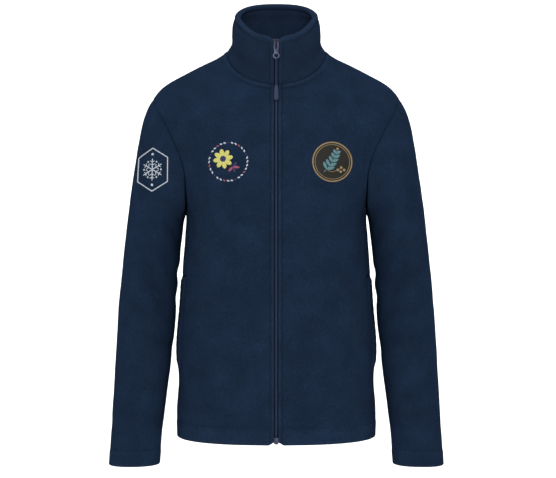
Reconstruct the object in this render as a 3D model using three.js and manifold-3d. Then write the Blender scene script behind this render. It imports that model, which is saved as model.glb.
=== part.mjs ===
// Zip-front fleece jacket with a stand collar, size M, in the hollow form it keeps when it is worn.
// Millimetres. +Z is up, +X is the wearer's left, -Y is the front. The origin lies between the two
// high shoulder points, where the neck comes through the jacket.
import * as THREE from "three";
import { mergeVertices } from "three/addons/utils/BufferGeometryUtils.js";
import Module from "manifold-3d";

const wasm = await Module();
wasm.setup();

const degrees = THREE.MathUtils.degToRad;
const mix = THREE.MathUtils.lerp;
const ease = THREE.MathUtils.smoothstep;

// Cloth and seams
const fleeceWall = 2.6; // one layer of fleece
const hemWall = 4.8; // the turned hems are two layers
const collarWall = 6.5; // outer and inner collar together
const collarRoll = 9.6; // the soft roll at the collar's top edge
const seamGap = 0.3; // between two pieces at a seam
const hemDepth = 26; // depth of the turned hem at the waist
const cuffDepth = 25; // depth of the turned hem at the wrist
const hemBlend = 3; // a turned hem starts and ends within this of its depth
const reliefStep = 0.9; // how far the turned hems stand proud
const singleFront = { from: 20, to: 32 }; // the hem's second layer starts this far from the centre line
const plainFront = { from: 30, to: 60 }; // and the folds this far

// Front zip
const zipEdge = 4.6; // from the centre line to the edge of each front
const chainHalf = 3.0; // half the width of the closed coil chain
const chainGap = 0.15; // from the centre line to each half of the chain
const chainDepth = 0.9; // the chain lies this far below the face of the fleece
const tapeWidth = 15; // from the centre line to the tape's outer edge
const tapeWall = 1.0;
const tapeGap = 0.4; // between the tape and the fleece in front of it
const tapeCellEdge = 17; // first column of a front panel, just past the tape

// Pockets in the side seams
const pocketTop = -409;
const pocketBottom = -567;
const welt = { width: 9, wall: 1.5, inset: 2 }; // the turned edge of the pocket mouth, topstitched to the front
const bag = {
  inner: 62, // from the centre line to its edge
  overlap: 5,
  setBack: 1.4,
  wall: 1.3,
  bottom: -640,
  corner: { drop: 26, rise: 60, share: 0.35 }, // its rounded lower corner
};

// Rings round the body, from the hem to the neck seam. Each ring is a rounded oblong through a side
// point (sideX at the height level), a centre front point and a centre back point. square is the
// power of the oblong, 2 for an ellipse. dip bends the ring between its side and its centre points.
const hemLevel = -688;
const armpitLevel = -292;
const shoulderLevel = -86;
const neckLevel = -5;
const bodyRings = [
  { level: hemLevel, sideX: 177, frontY: -133, frontZ: -688, backY: 127, backZ: -690, square: 2.5, dip: 1.5 },
  { level: -640, sideX: 178, frontY: -132, frontZ: -640, backY: 124, backZ: -641, square: 2.5, dip: 1.5 },
  { level: -590, sideX: 174.8, frontY: -131, frontZ: -590, backY: 121, backZ: -590, square: 2.5, dip: 1.5 },
  { level: -545, sideX: 178, frontY: -130, frontZ: -545, backY: 119, backZ: -545, square: 2.5, dip: 1.5 },
  { level: -450, sideX: 172, frontY: -128, frontZ: -450, backY: 115, backZ: -450, square: 2.5, dip: 1.5 },
  { level: -385, sideX: 168, frontY: -129, frontZ: -385, backY: 115, backZ: -385, square: 2.5, dip: 1.5 },
  { level: -335, sideX: 164, frontY: -131, frontZ: -336, backY: 118, backZ: -335, square: 2.45, dip: 1.5 },
  {
    level: armpitLevel, sideX: 163, frontY: -132, frontZ: -297, backY: 122, backZ: -292,
    square: 2.4, dip: 1.5,
  },
  { level: -240, sideX: 188, frontY: -129, frontZ: -253, backY: 127, backZ: -239, square: 2.3, dip: 1.45 },
  { level: -180, sideX: 212, frontY: -121.5, frontZ: -206, backY: 129, backZ: -180, square: 2.2, dip: 1.4 },
  { level: -125, sideX: 225, frontY: -111, frontZ: -166, backY: 126, backZ: -128, square: 2.12, dip: 1.3 },
  {
    level: shoulderLevel, sideX: 221, frontY: -101.5, frontZ: -139, backY: 119, backZ: -89,
    square: 2.08, dip: 1.22,
  },
  { level: -62, sideX: 199, frontY: -94.5, frontZ: -122, backY: 112, backZ: -65, square: 2.06, dip: 1.18 },
  { level: -41, sideX: 162, frontY: -87.5, frontZ: -108, backY: 102, backZ: -42, square: 2.05, dip: 1.14 },
  { level: -24, sideX: 128, frontY: -80, frontZ: -96.5, backY: 89, backZ: -18, square: 2.03, dip: 1.1 },
  { level: -14, sideX: 105, frontY: -72.5, frontZ: -84, backY: 74, backZ: 8, square: 2, dip: 1.1 },
  { level: neckLevel, sideX: 89.5, frontY: -66.3, frontZ: -70, backY: 62, backZ: 24, square: 2, dip: 1.1 },
];

// Rings round the collar, from just above the neck seam to its top edge. Their front halves have a dip of
// their own, because the top edge falls to the zip in a V.
const collarTop = 62;
const collarRings = [
  {
    level: neckLevel + seamGap, sideX: 89.2, frontY: -66.3, frontZ: -69.7, backY: 62, backZ: 24.3,
    square: 2, frontDip: 1.1, dip: 1.1,
  },
  {
    level: 9, sideX: 80.8, frontY: -67, frontZ: -54.5, backY: 61.8, backZ: 37, square: 2,
    frontDip: 1.15, dip: 1.02,
  },
  {
    level: 27, sideX: 80, frontY: -67.5, frontZ: -36, backY: 61, backZ: 53.5, square: 2.03,
    frontDip: 1.25, dip: 0.96,
  },
  {
    level: 45.6, sideX: 78.3, frontY: -67.5, frontZ: -15, backY: 59.5, backZ: 71, square: 2.1,
    frontDip: 1.45, dip: 0.91,
  },
  {
    level: collarTop, sideX: 72.4, frontY: -66, frontZ: 13.8, backY: 57, backZ: 93.8, square: 2.25,
    frontDip: 1.75, dip: 0.83,
  },
];

const cuffEnd = 665; // length of the sleeve down its outer line

// Rings round the sleeve. along is the distance down its outer line. outer and inner are its two edges
// seen from the front, depth is half its size from front to back, and centreY carries it forward.
const sleeveRings = [
  { along: 0, outerX: 221, outerZ: -86, innerX: 163, innerZ: -292, centreY: 0, depth: 72, square: 2 },
  {
    along: 18, outerX: 229.3, outerZ: -101, innerX: 164.2, innerZ: -296, centreY: 0, depth: 73,
    square: 2.02,
  },
  {
    along: 52, outerX: 240.5, outerZ: -131, innerX: 165.4, innerZ: -301, centreY: 0, depth: 75,
    square: 2.06,
  },
  {
    along: 96, outerX: 248.6, outerZ: -174, innerX: 166.4, innerZ: -307, centreY: -1, depth: 77,
    square: 2.1,
  },
  {
    along: 145, outerX: 255.3, outerZ: -222, innerX: 167.4, innerZ: -315, centreY: -2, depth: 78,
    square: 2.15,
  },
  {
    along: 194, outerX: 261.7, outerZ: -270, innerX: 168.5, innerZ: -327, centreY: -3, depth: 78,
    square: 2.2,
  },
  {
    along: 243, outerX: 267.3, outerZ: -318, innerX: 170.3, innerZ: -346, centreY: -5, depth: 76,
    square: 2.2,
  },
  {
    along: 290, outerX: 272.3, outerZ: -364, innerX: 172.6, innerZ: -374, centreY: -7, depth: 72,
    square: 2.2,
  },
  {
    along: 372, outerX: 280.3, outerZ: -446, innerX: 176.6, innerZ: -446, centreY: -11, depth: 64,
    square: 2.2,
  },
  {
    along: 470, outerX: 286.2, outerZ: -543, innerX: 186, innerZ: -541, centreY: -16, depth: 55,
    square: 2.2,
  },
  {
    along: 540, outerX: 289.8, outerZ: -613, innerX: 194.5, innerZ: -611, centreY: -20, depth: 48,
    square: 2.2,
  },
  {
    along: 620, outerX: 294.2, outerZ: -693, innerX: 203.6, innerZ: -691, centreY: -25, depth: 40,
    square: 2.2,
  },
  {
    along: cuffEnd, outerX: 296.3, outerZ: -738, innerX: 207.4, innerZ: -737, centreY: -28, depth: 36,
    square: 2.2,
  },
];
const sleeveJoin = 170; // the armhole's own shape fades out over this length
const armholeBite = { front: 39, back: 37, power: 0.75 }; // degrees that the armhole cuts in from the side
const armholeMitre = 0.6; // least cosine that the wall's mitre along the armhole is worked out for

// Fastener. The slider sits at the top of the closed zip, and the pull hangs from its bridge.
const zipBox = { top: -676.5, bottom: -687.5, halfWidth: 3.7, corner: 1.2, proud: 0.6, clearance: 0.5 };
const slider = {
  level: 56.7, // ring of the collar that it sits on
  halfWidth: 4.1,
  length: 10.4,
  plate: 1.0,
  flange: 0.7,
  proud: 0.6,
  clearance: 0.35, // behind the tapes
  wedge: { width: 4.8, length: 3 },
  bridgeInset: 0.6,
  bridgeRoot: 0.2,
  bridgeRise: 3.6,
  bridgeWide: 2.2,
  bridgeWall: 1.0,
};
const hinge = { along: -1.9, out: 1.8 }; // in the slider's frame
const hangTilt = 10; // degrees, outwards from straight down
const tab = {
  wall: 1.2,
  topWidth: 8.9,
  waist: 7.2,
  bar: 1.2,
  corner: 1,
  shoulder: [2, 5], // below the window, where the tab narrows to its waist
  window: [3.6, 10.4],
  ringRadius: 6.0,
  ringTurn: 0.7,
  holeRadius: 3.3,
  length: 30,
};
const cord = { radius: 1.0, drop: 47, socket: 4 }; // drop is from the tab's ring to the grip
const grip = {
  sections: [
    [0, 5.4, 3.0],
    [1, 5.8, 3.3],
    [3.5, 6.6, 3.6],
    [7, 7.4, 3.8],
    [14, 7.8, 3.9],
    [24, 8.2, 3.9],
    [26.2, 7.8, 3.5],
    [27, 6.8, 2.7],
  ], // distance down, width, depth
};

// The largest folds. size is half the width of a fold, run half its length, turn its slant in degrees
// and depth how far it goes in, or stands out where it is below zero.
const bodyFolds = [
  { level: -345, angle: 60, run: 70, size: 24, turn: 24, depth: 3.2 },
  { level: -205, angle: 50, run: 60, size: 22, turn: -22, depth: 2.6 },
  { level: -480, angle: 72, run: 90, size: 26, turn: 8, depth: 2.4 },
  { level: -560, angle: 38, run: 95, size: 30, turn: -5, depth: 1.8 },
  { level: -330, angle: 124, run: 90, size: 26, turn: -20, depth: 3.4 },
  { level: -500, angle: 140, run: 110, size: 30, turn: 10, depth: 2.6 },
  { level: -180, angle: 134, run: 70, size: 24, turn: 18, depth: 2.6 },
];
const radianAcross = 0.85; // millimetres across the cloth in one radian, for each one of a ring's sideX
const sleeveHalfWidth = 50;
const sleeveFoldStart = 70; // the folds of a sleeve fade in over this length
const sleeveFolds = [
  { along: 300, round: 110, run: 60, size: 16, turn: 58, depth: 3.6 },
  { along: 352, round: 125, run: 62, size: 18, turn: 66, depth: 3.8 },
  { along: 322, round: 205, run: 64, size: 16, turn: 96, depth: 4.0 },
  { along: 372, round: 215, run: 60, size: 18, turn: 78, depth: 3.4 },
  { along: 210, round: 140, run: 66, size: 20, turn: 30, depth: 3.2 },
  { along: 470, round: 70, run: 80, size: 22, turn: 20, depth: 2.2 },
];

// Steps of the meshes, and of the differences that give a surface's direction
const probe = { along: 0.5, angle: 0.004, turn: 0.01 };
const armholeSteps = 12;
const bodyLevels = [
  hemLevel, hemLevel + hemDepth - 4, hemLevel + hemDepth + 3, -630, -598, pocketBottom, -538, -508, -476, -443,
  pocketTop, -380, -350, -322,
  ...Array.from({ length: armholeSteps + 1 }, (_, i) => armholeLevel(Math.PI * (1 - i / armholeSteps))),
  -66, -46, -28, -15, neckLevel,
];
const frontColumns = 9;
const backColumns = 20;
const sleeveStations = [0, 9, 24, 46, 74, 106, 140, 176, 212, 248, 284, 318, 350, 384, 424, 468, 514, 555, 595];
const collarLevels = [neckLevel + seamGap, 2, 11, 27, 42, 55];

// One column of a table at a place between its rows, as a smooth curve through them.
function tableValue(rows, key, at, column) {
  const last = rows.length - 1;
  const place = THREE.MathUtils.clamp(at, rows[0][key], rows[last][key]);
  let i = 0;
  while (i < last - 1 && place > rows[i + 1][key]) i++;
  const step = (k) => rows[k + 1][key] - rows[k][key];
  const slope = (k) => (rows[k + 1][column] - rows[k][column]) / step(k);
  const tangent = (k) => {
    if (k === 0) return slope(0);
    if (k === last) return slope(last - 1);
    return (step(k) * slope(k - 1) + step(k - 1) * slope(k)) / (step(k) + step(k - 1));
  };
  const t = (place - rows[i][key]) / step(i);
  return (
    (1 + 2 * t) * (1 - t) ** 2 * rows[i][column] +
    t * (1 - t) ** 2 * step(i) * tangent(i) +
    t * t * (3 - 2 * t) * rows[i + 1][column] -
    t * t * (1 - t) * step(i) * tangent(i + 1)
  );
}

function oblongRadius(angle, power) {
  return (Math.abs(Math.sin(angle)) ** power + Math.abs(Math.cos(angle)) ** power) ** (-1 / power);
}

// A point of a ring. angle is 0 at the centre front, 90 degrees at the wearer's left side, 180 at the back.
function ringPoint(rings, level, angle) {
  const value = (column) => tableValue(rings, "level", level, column);
  const radius = oblongRadius(angle, value("square"));
  const ahead = radius * Math.cos(angle);
  const [centreY, centreZ] = ahead > 0 ? ["frontY", "frontZ"] : ["backY", "backZ"];
  const dip = ahead > 0 && "frontDip" in rings[0] ? "frontDip" : "dip";
  return new THREE.Vector3(
    value("sideX") * radius * Math.sin(angle),
    value(centreY) * Math.abs(ahead),
    level + (value(centreZ) - level) * Math.abs(ahead) ** value(dip),
  );
}

// The angle at which a ring is x away from the centre line, on its front half.
function angleAtX(rings, level, x) {
  const power = tableValue(rings, "level", level, "square");
  const share = (x / tableValue(rings, "level", level, "sideX")) ** power;
  return Math.atan((share / (1 - share)) ** (1 / power));
}

// How far the folds of a table take a surface in at a place given in millimetres along and across.
function foldDepth(folds, offsets) {
  return folds.reduce((sum, fold) => {
    const [down, across] = offsets(fold);
    const turn = degrees(fold.turn);
    const run = (down * Math.cos(turn) + across * Math.sin(turn)) / fold.run;
    const side = (across * Math.cos(turn) - down * Math.sin(turn)) / fold.size;
    return sum + fold.depth * Math.exp(-side * side - run * run);
  }, 0);
}

function hemRelief(distance, depth) {
  return reliefStep * (1 - ease(distance, depth - hemBlend, depth + hemBlend));
}

function surfaceNormal(point, a, b, stepA, stepB) {
  const alongB = point(a, b + stepB).sub(point(a, b - stepB));
  const alongA = point(a + stepA, b).sub(point(a - stepA, b));
  return alongB.cross(alongA).normalize();
}

// The outer face of the body cloth, pushed in or out along its normal.
function bodySurface(level, angle, inwards = 0) {
  const plain = (l, a) => ringPoint(bodyRings, l, a);
  const normal = surfaceNormal(plain, level, angle, probe.along, probe.angle);
  const sideX = tableValue(bodyRings, "level", level, "sideX");
  const turned = Math.abs(angle) > Math.PI ? 2 * Math.PI - Math.abs(angle) : Math.abs(angle);
  const relief = foldDepth(bodyFolds, (fold) => [
    level - fold.level,
    (turned - degrees(fold.angle)) * sideX * radianAcross,
  ]);
  const nearZip = ease(Math.abs(plain(level, angle).x), plainFront.from, plainFront.to);
  const push = hemRelief(level - hemLevel, hemDepth) - relief * nearZip - inwards;
  return plain(level, angle).addScaledVector(normal, push);
}

function bodyWall(level, angle) {
  const nearZip = ease(Math.abs(ringPoint(bodyRings, level, angle).x), singleFront.from, singleFront.to);
  const inHem = 1 - ease(level - hemLevel, hemDepth - hemBlend, hemDepth + hemBlend);
  return mix(fleeceWall, hemWall, inHem * (angle > Math.PI / 2 ? 1 : nearZip));
}

function armholeLevel(turn) {
  return mix(armpitLevel, shoulderLevel, (1 + Math.cos(turn)) / 2);
}

// The armhole seam. turn is 0 at the shoulder point, half a turn at the armpit, and passes the front first.
function armholeAngle(turn) {
  const bite = Math.sin(turn) > 0 ? armholeBite.front : armholeBite.back;
  const cutIn = Math.sign(Math.sin(turn)) * Math.abs(Math.sin(turn)) ** armholeBite.power;
  return Math.PI / 2 - degrees(bite) * cutIn;
}

// Where a body panel ends at the side: on the side seam, the armhole or the shoulder seam.
function panelEdgeAngle(level, isBack) {
  if (level <= armpitLevel || level >= shoulderLevel) return Math.PI / 2;
  return armholeAngle(armholeTurn(level, isBack));
}

// The way from the outer to the inner face along the armhole, halfway between the body's and the sleeve's walls.
function armholeInward(turn) {
  const plain = (l, a) => ringPoint(bodyRings, l, a);
  const bodyNormal = surfaceNormal(plain, armholeLevel(turn), armholeAngle(turn), probe.along, probe.angle);
  const sleeveNormal = surfaceNormal(sleevePlain, 1, turn, probe.along, probe.turn);
  const middle = bodyNormal.clone().add(sleeveNormal).normalize();
  return middle.multiplyScalar(-fleeceWall / Math.max(middle.dot(bodyNormal), armholeMitre));
}

function armholeTurn(level, isBack) {
  const cosine = (2 * (level - armpitLevel)) / (shoulderLevel - armpitLevel) - 1;
  const turn = Math.acos(THREE.MathUtils.clamp(cosine, -1, 1));
  return isBack ? -turn : turn;
}

function seamInset(level, angle) {
  const ahead = ringPoint(bodyRings, level, angle + probe.turn);
  const speed = ahead.distanceTo(ringPoint(bodyRings, level, angle - probe.turn)) / (2 * probe.turn);
  return seamGap / 2 / speed;
}

// A closed wall between two matching grids of points, outer[row][column] and inner[row][column].
function wallGeometry(outer, inner, wrapped = false) {
  const rows = outer.length;
  const columns = outer[0].length;
  const points = [...outer.flat(), ...inner.flat()];
  const index = [];
  const at = (layer, row, column) => layer * rows * columns + row * columns + (column % columns);
  const quad = (a, b, c, d) => index.push(a, b, c, a, c, d);
  const cells = wrapped ? columns : columns - 1;
  for (let i = 0; i < rows - 1; i++) {
    for (let j = 0; j < cells; j++) {
      quad(at(0, i, j), at(0, i, j + 1), at(0, i + 1, j + 1), at(0, i + 1, j));
      quad(at(1, i, j), at(1, i + 1, j), at(1, i + 1, j + 1), at(1, i, j + 1));
    }
  }
  for (let j = 0; j < cells; j++) {
    quad(at(0, 0, j), at(1, 0, j), at(1, 0, j + 1), at(0, 0, j + 1));
    quad(at(0, rows - 1, j), at(0, rows - 1, j + 1), at(1, rows - 1, j + 1), at(1, rows - 1, j));
  }
  if (!wrapped) {
    const end = columns - 1;
    for (let i = 0; i < rows - 1; i++) {
      quad(at(0, i, 0), at(0, i + 1, 0), at(1, i + 1, 0), at(1, i, 0));
      quad(at(0, i, end), at(1, i, end), at(1, i + 1, end), at(0, i + 1, end));
    }
  }
  return closedGeometry(points, index);
}

// A solid through matching closed sections. outline is the shape of a section in the plane, for its two ends.
function loftGeometry(sections, outline) {
  const count = outline.length;
  const index = [];
  for (let i = 0; i < sections.length - 1; i++) {
    for (let j = 0; j < count; j++) {
      const next = (j + 1) % count;
      const [a, b] = [i * count, (i + 1) * count];
      index.push(a + j, a + next, b + next, a + j, b + next, b + j);
    }
  }
  const last = (sections.length - 1) * count;
  const flat = outline.map(([x, y]) => new THREE.Vector2(x, y));
  const clockwise = THREE.ShapeUtils.isClockWise(flat);
  const ends = THREE.ShapeUtils.triangulateShape(clockwise ? [...flat].reverse() : flat, []);
  for (const face of ends) {
    const [a, b, c] = clockwise ? face.map((k) => count - 1 - k).reverse() : face;
    index.push(a, c, b, last + a, last + b, last + c);
  }
  return closedGeometry(sections.flat(), index);
}

// A geometry whose faces are turned to point outwards.
function closedGeometry(points, index) {
  let volume = 0;
  for (let i = 0; i < index.length; i += 3) {
    const [a, b, c] = [points[index[i]], points[index[i + 1]], points[index[i + 2]]];
    volume += a.dot(b.clone().cross(c));
  }
  if (volume < 0) index.reverse();
  const geometry = new THREE.BufferGeometry();
  geometry.setAttribute("position", new THREE.Float32BufferAttribute(points.flatMap((p) => p.toArray()), 3));
  geometry.setIndex(index);
  geometry.computeVertexNormals();
  return geometry;
}

function solidOf(geometry) {
  const bare = geometry.clone();
  bare.deleteAttribute("normal");
  bare.deleteAttribute("uv");
  const merged = mergeVertices(bare, 1e-4);
  return new wasm.Manifold(
    new wasm.Mesh({
      numProp: 3,
      vertProperties: merged.attributes.position.array,
      triVerts: new Uint32Array(merged.index.array),
    }),
  );
}

function geometryOf(solid) {
  const mesh = solid.getMesh();
  const geometry = new THREE.BufferGeometry();
  geometry.setAttribute("position", new THREE.BufferAttribute(new Float32Array(mesh.vertProperties), 3));
  geometry.setIndex(new THREE.BufferAttribute(new Uint32Array(mesh.triVerts), 1));
  geometry.computeVertexNormals();
  return geometry;
}

function joined(...geometries) {
  return geometryOf(geometries.map(solidOf).reduce((all, one) => all.add(one)));
}

function cut(geometry, ...tools) {
  return geometryOf(tools.map(solidOf).reduce((left, tool) => left.subtract(tool), solidOf(geometry)));
}

const fleece = new THREE.MeshStandardMaterial({ color: 0x1d2c43, roughness: 0.95, metalness: 0 });
const zipTape = new THREE.MeshStandardMaterial({ color: 0x23283a, roughness: 0.8, metalness: 0 });
const zipMetal = new THREE.MeshStandardMaterial({ color: 0x64667c, roughness: 0.4, metalness: 0.6 });
const pullerCord = new THREE.MeshStandardMaterial({ color: 0x2c3448, roughness: 0.85, metalness: 0 });
const pullerGrip = new THREE.MeshStandardMaterial({ color: 0x42466a, roughness: 0.5, metalness: 0 });

const jacket = new THREE.Group();

function addPiece(name, geometry, material) {
  const mesh = new THREE.Mesh(geometry, material);
  mesh.name = name;
  jacket.add(mesh);
  return mesh;
}

// Sets the inner edge of a panel along its side seam, armhole and shoulder seam, so that it meets its neighbour.
function fitSeam(outer, inner, column, side, isBack) {
  for (const [i, level] of bodyLevels.entries()) {
    const edge = outer[i][column];
    if (level < armpitLevel || level > shoulderLevel) {
      inner[i][column].setY(edge.y);
      continue;
    }
    const inward = armholeInward(armholeTurn(level, isBack));
    inner[i][column].copy(edge).add(inward.setX(side * inward.x));
  }
}

// The angles of a row of a front, from the zip to its side edge.
function frontAngles(rings, level, end) {
  const second = angleAtX(rings, level, tapeCellEdge);
  const angles = [angleAtX(rings, level, zipEdge)];
  for (let j = 0; j < frontColumns; j++) angles.push(mix(second, end, j / (frontColumns - 1)));
  return angles;
}

// A front runs from the zip to the side seam, the armhole and the shoulder seam.
function frontPanel(side) {
  const rows = bodyLevels.map((level) => {
    const end = panelEdgeAngle(level, false);
    const angles = frontAngles(bodyRings, level, end);
    angles[frontColumns] = end - seamInset(level, end);
    return angles.map((angle) => [side * angle, level]);
  });
  const top = bodyLevels.length - 1;
  const lift = (row, level) => (row === top ? level - seamGap / 2 : level);
  const layer = (inwards) =>
    rows.map((row, i) =>
      row.map(([angle, level]) =>
        bodySurface(lift(i, level), angle, inwards * bodyWall(level, Math.abs(angle))),
      ),
    );
  const [outer, inner] = [layer(0), layer(1)];
  fitSeam(outer, inner, frontColumns, side, false);
  return wallGeometry(outer, inner);
}

// The back is one piece from side to side.
function backPanel() {
  const top = bodyLevels.length - 1;
  const rows = bodyLevels.map((level, i) => {
    const edge = panelEdgeAngle(level, true);
    const start = edge + seamInset(level, edge);
    const end = 2 * Math.PI - start;
    const height = i === top ? level - seamGap / 2 : level;
    return Array.from({ length: backColumns + 1 }, (_, j) => [mix(start, end, j / backColumns), height]);
  });
  const layer = (inwards) =>
    rows.map((row) =>
      row.map(([angle, level]) => bodySurface(level, angle, inwards * bodyWall(level, Math.PI))),
    );
  const [outer, inner] = [layer(0), layer(1)];
  fitSeam(outer, inner, 0, 1, true);
  fitSeam(outer, inner, backColumns, -1, true);
  return wallGeometry(outer, inner);
}

// The sleeve's outer face. turn runs as it does on the armhole, whose shape the first rings keep.
function sleevePlain(along, turn) {
  const value = (column) => tableValue(sleeveRings, "along", along, column);
  const [first] = sleeveRings;
  const start = new THREE.Vector2(first.outerX - first.innerX, first.outerZ - first.innerZ).multiplyScalar(0.5);
  const half = new THREE.Vector2(value("outerX") - value("innerX"), value("outerZ") - value("innerZ"));
  half.multiplyScalar(0.5);
  const seam = bodySurface(armholeLevel(turn), armholeAngle(turn));
  const fromMiddle = new THREE.Vector2(
    seam.x - (first.outerX + first.innerX) / 2,
    seam.z - (first.outerZ + first.innerZ) / 2,
  );
  const seamAcross = fromMiddle.dot(start) / start.lengthSq();
  const seamOut = fromMiddle.dot(new THREE.Vector2(start.y, -start.x).normalize());
  const keep = 1 - ease(along, 0, sleeveJoin);
  const radius = oblongRadius(turn, value("square"));
  const across = mix(radius * Math.cos(turn), seamAcross, keep);
  const out = new THREE.Vector2(half.y, -half.x).normalize().multiplyScalar(seamOut * keep);
  return new THREE.Vector3(
    (value("outerX") + value("innerX")) / 2 + half.x * across + out.x,
    mix(value("centreY") - value("depth") * radius * Math.sin(turn), seam.y, keep),
    (value("outerZ") + value("innerZ")) / 2 + half.y * across + out.y,
  );
}

function sleeveSurface(along, turn, inwards) {
  const normal = surfaceNormal(sleevePlain, Math.max(along, 1), turn, probe.along, probe.turn);
  const relief = foldDepth(sleeveFolds, (fold) => {
    const round = THREE.MathUtils.euclideanModulo(turn - degrees(fold.round) + Math.PI, 2 * Math.PI) - Math.PI;
    const girth = tableValue(sleeveRings, "along", along, "depth") + sleeveHalfWidth;
    return [along - fold.along, (round * girth) / 2];
  });
  const push = hemRelief(cuffEnd - along, cuffDepth) - relief * ease(along, 0, sleeveFoldStart) - inwards;
  return sleevePlain(along, turn).addScaledVector(normal, push);
}

function sleeve(side) {
  const stations = [...sleeveStations, cuffEnd - cuffDepth - 4, cuffEnd - cuffDepth + 3, cuffEnd];
  const turns = Array.from({ length: 2 * armholeSteps }, (_, j) => (Math.PI * j) / armholeSteps);
  const [first] = sleeveRings;
  const away = new THREE.Vector3(first.outerZ - first.innerZ, 0, first.innerX - first.outerX).normalize();
  const layer = (inwards) =>
    stations.map((along) =>
      turns.map((turn) => {
        const inCuff = 1 - ease(cuffEnd - along, cuffDepth - hemBlend, cuffDepth + hemBlend);
        const wall = mix(fleeceWall, hemWall, inCuff);
        const point = sleeveSurface(along, turn, along === 0 ? 0 : inwards * wall);
        if (along === 0) point.addScaledVector(armholeInward(turn), inwards).addScaledVector(away, seamGap);
        return point.setX(side * point.x);
      }),
    );
  return wallGeometry(layer(0), layer(1), true);
}

function collarSurface(level, angle, inwards) {
  const plain = (l, a) => ringPoint(collarRings, l, a);
  const inside = THREE.MathUtils.clamp(level, neckLevel + seamGap + probe.along, collarTop - probe.along);
  const normal = surfaceNormal(plain, inside, angle, probe.along, probe.turn);
  return plain(level, angle).addScaledVector(normal, -inwards);
}

// The stand collar, open at the centre front, with a soft roll along its top edge.
function collar() {
  const rollSteps = 4;
  const rollFoot = collarLevels.at(-1) + 1.5;
  const outline = [];
  for (const level of collarLevels) outline.push([0, level]);
  for (let i = 0; i <= rollSteps; i++) {
    const turn = Math.PI * (i / rollSteps);
    const rise = (collarTop - rollFoot) * Math.sin(turn);
    outline.push([(collarRoll / 2) * (1 - Math.cos(turn)), rollFoot + rise]);
  }
  for (const level of [...collarLevels].reverse()) outline.push([collarWall, level]);
  const columns = 2 * frontColumns + backColumns;
  const sections = Array.from({ length: columns + 1 }, (_, j) =>
    outline.map(([inwards, level]) => {
      const front = frontAngles(collarRings, level, Math.PI / 2);
      const fromSide = (j - frontColumns) / backColumns;
      if (j < frontColumns) return collarSurface(level, front[j], inwards);
      if (j > columns - frontColumns) return collarSurface(level, 2 * Math.PI - front[columns - j], inwards);
      return collarSurface(level, mix(Math.PI / 2, (3 * Math.PI) / 2, fromSide), inwards);
    }),
  );
  for (const end of [sections[0], sections.at(-1)]) {
    const side = Math.sign(end[0].x);
    for (const point of end) point.setX(side * zipEdge);
  }
  return loftGeometry(sections, outline);
}

// Half of the zip: the tape behind the front's edge, and its half of the closed chain beside the centre line.
function zipTapeHalf(side) {
  const back = fleeceWall + tapeGap + tapeWall;
  const outline = [
    [chainGap, chainDepth],
    [chainHalf, chainDepth],
    [chainHalf + 0.05, fleeceWall + tapeGap],
    [tapeWidth, fleeceWall + tapeGap],
    [tapeWidth, back],
    [chainGap, back],
  ];
  const section = (rings, surface, level, width, chainFace) =>
    outline.map(([x, depth]) => {
      const angle = angleAtX(rings, level, Math.min(x, width));
      const point = surface(level, angle, depth === chainDepth ? chainFace : depth);
      point.x = side * Math.min(x, width);
      return point;
    });
  const narrow = chainHalf + 0.2;
  const bare = fleeceWall + tapeGap - 0.1;
  const face = (l, a) => ringPoint(bodyRings, l, a);
  const plain = (level, angle, inwards) =>
    face(level, angle).addScaledVector(surfaceNormal(face, level, angle, probe.along, probe.angle), -inwards);
  const rows = [];
  for (const level of [hemLevel + 3, zipBox.top + 0.6]) {
    rows.push(section(bodyRings, plain, level, tapeWidth, bare));
  }
  rows.push(section(bodyRings, plain, zipBox.top + 1.2, tapeWidth, chainDepth));
  for (const level of bodyLevels.slice(2, -1)) {
    rows.push(section(bodyRings, plain, level, tapeWidth, chainDepth));
  }
  rows.push(section(bodyRings, plain, neckLevel - 3, narrow, chainDepth));
  for (const level of [...collarLevels.slice(1, -1), slider.level + 0.8]) {
    rows.push(section(collarRings, collarSurface, level, narrow, chainDepth));
  }
  return loftGeometry(rows, outline);
}

// A frame on the centre front of the collar: +X across, +Y up the zip and +Z out of the cloth.
function zipFrame(level) {
  const point = collarSurface(level, 0, 0);
  const up = collarSurface(level + 1, 0, 0).sub(point).normalize();
  const across = new THREE.Vector3(1, 0, 0);
  return new THREE.Matrix4().makeBasis(across, up, across.clone().cross(up)).setPosition(point);
}

// The pull's own frame at its hinge: it hangs down -Y, tilted out so that the grip lies just off the chest.
function pullFrame() {
  const pivot = new THREE.Vector3(0, hinge.along, hinge.out).applyMatrix4(zipFrame(slider.level));
  const up = new THREE.Vector3(0, Math.sin(degrees(hangTilt)), Math.cos(degrees(hangTilt)));
  const across = new THREE.Vector3(1, 0, 0);
  return new THREE.Matrix4().makeBasis(across, up, across.clone().cross(up)).setPosition(pivot);
}

function boxAt(width, height, depth, x, y, z) {
  return new THREE.BoxGeometry(width, height, depth).translate(x, y, z);
}

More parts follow.
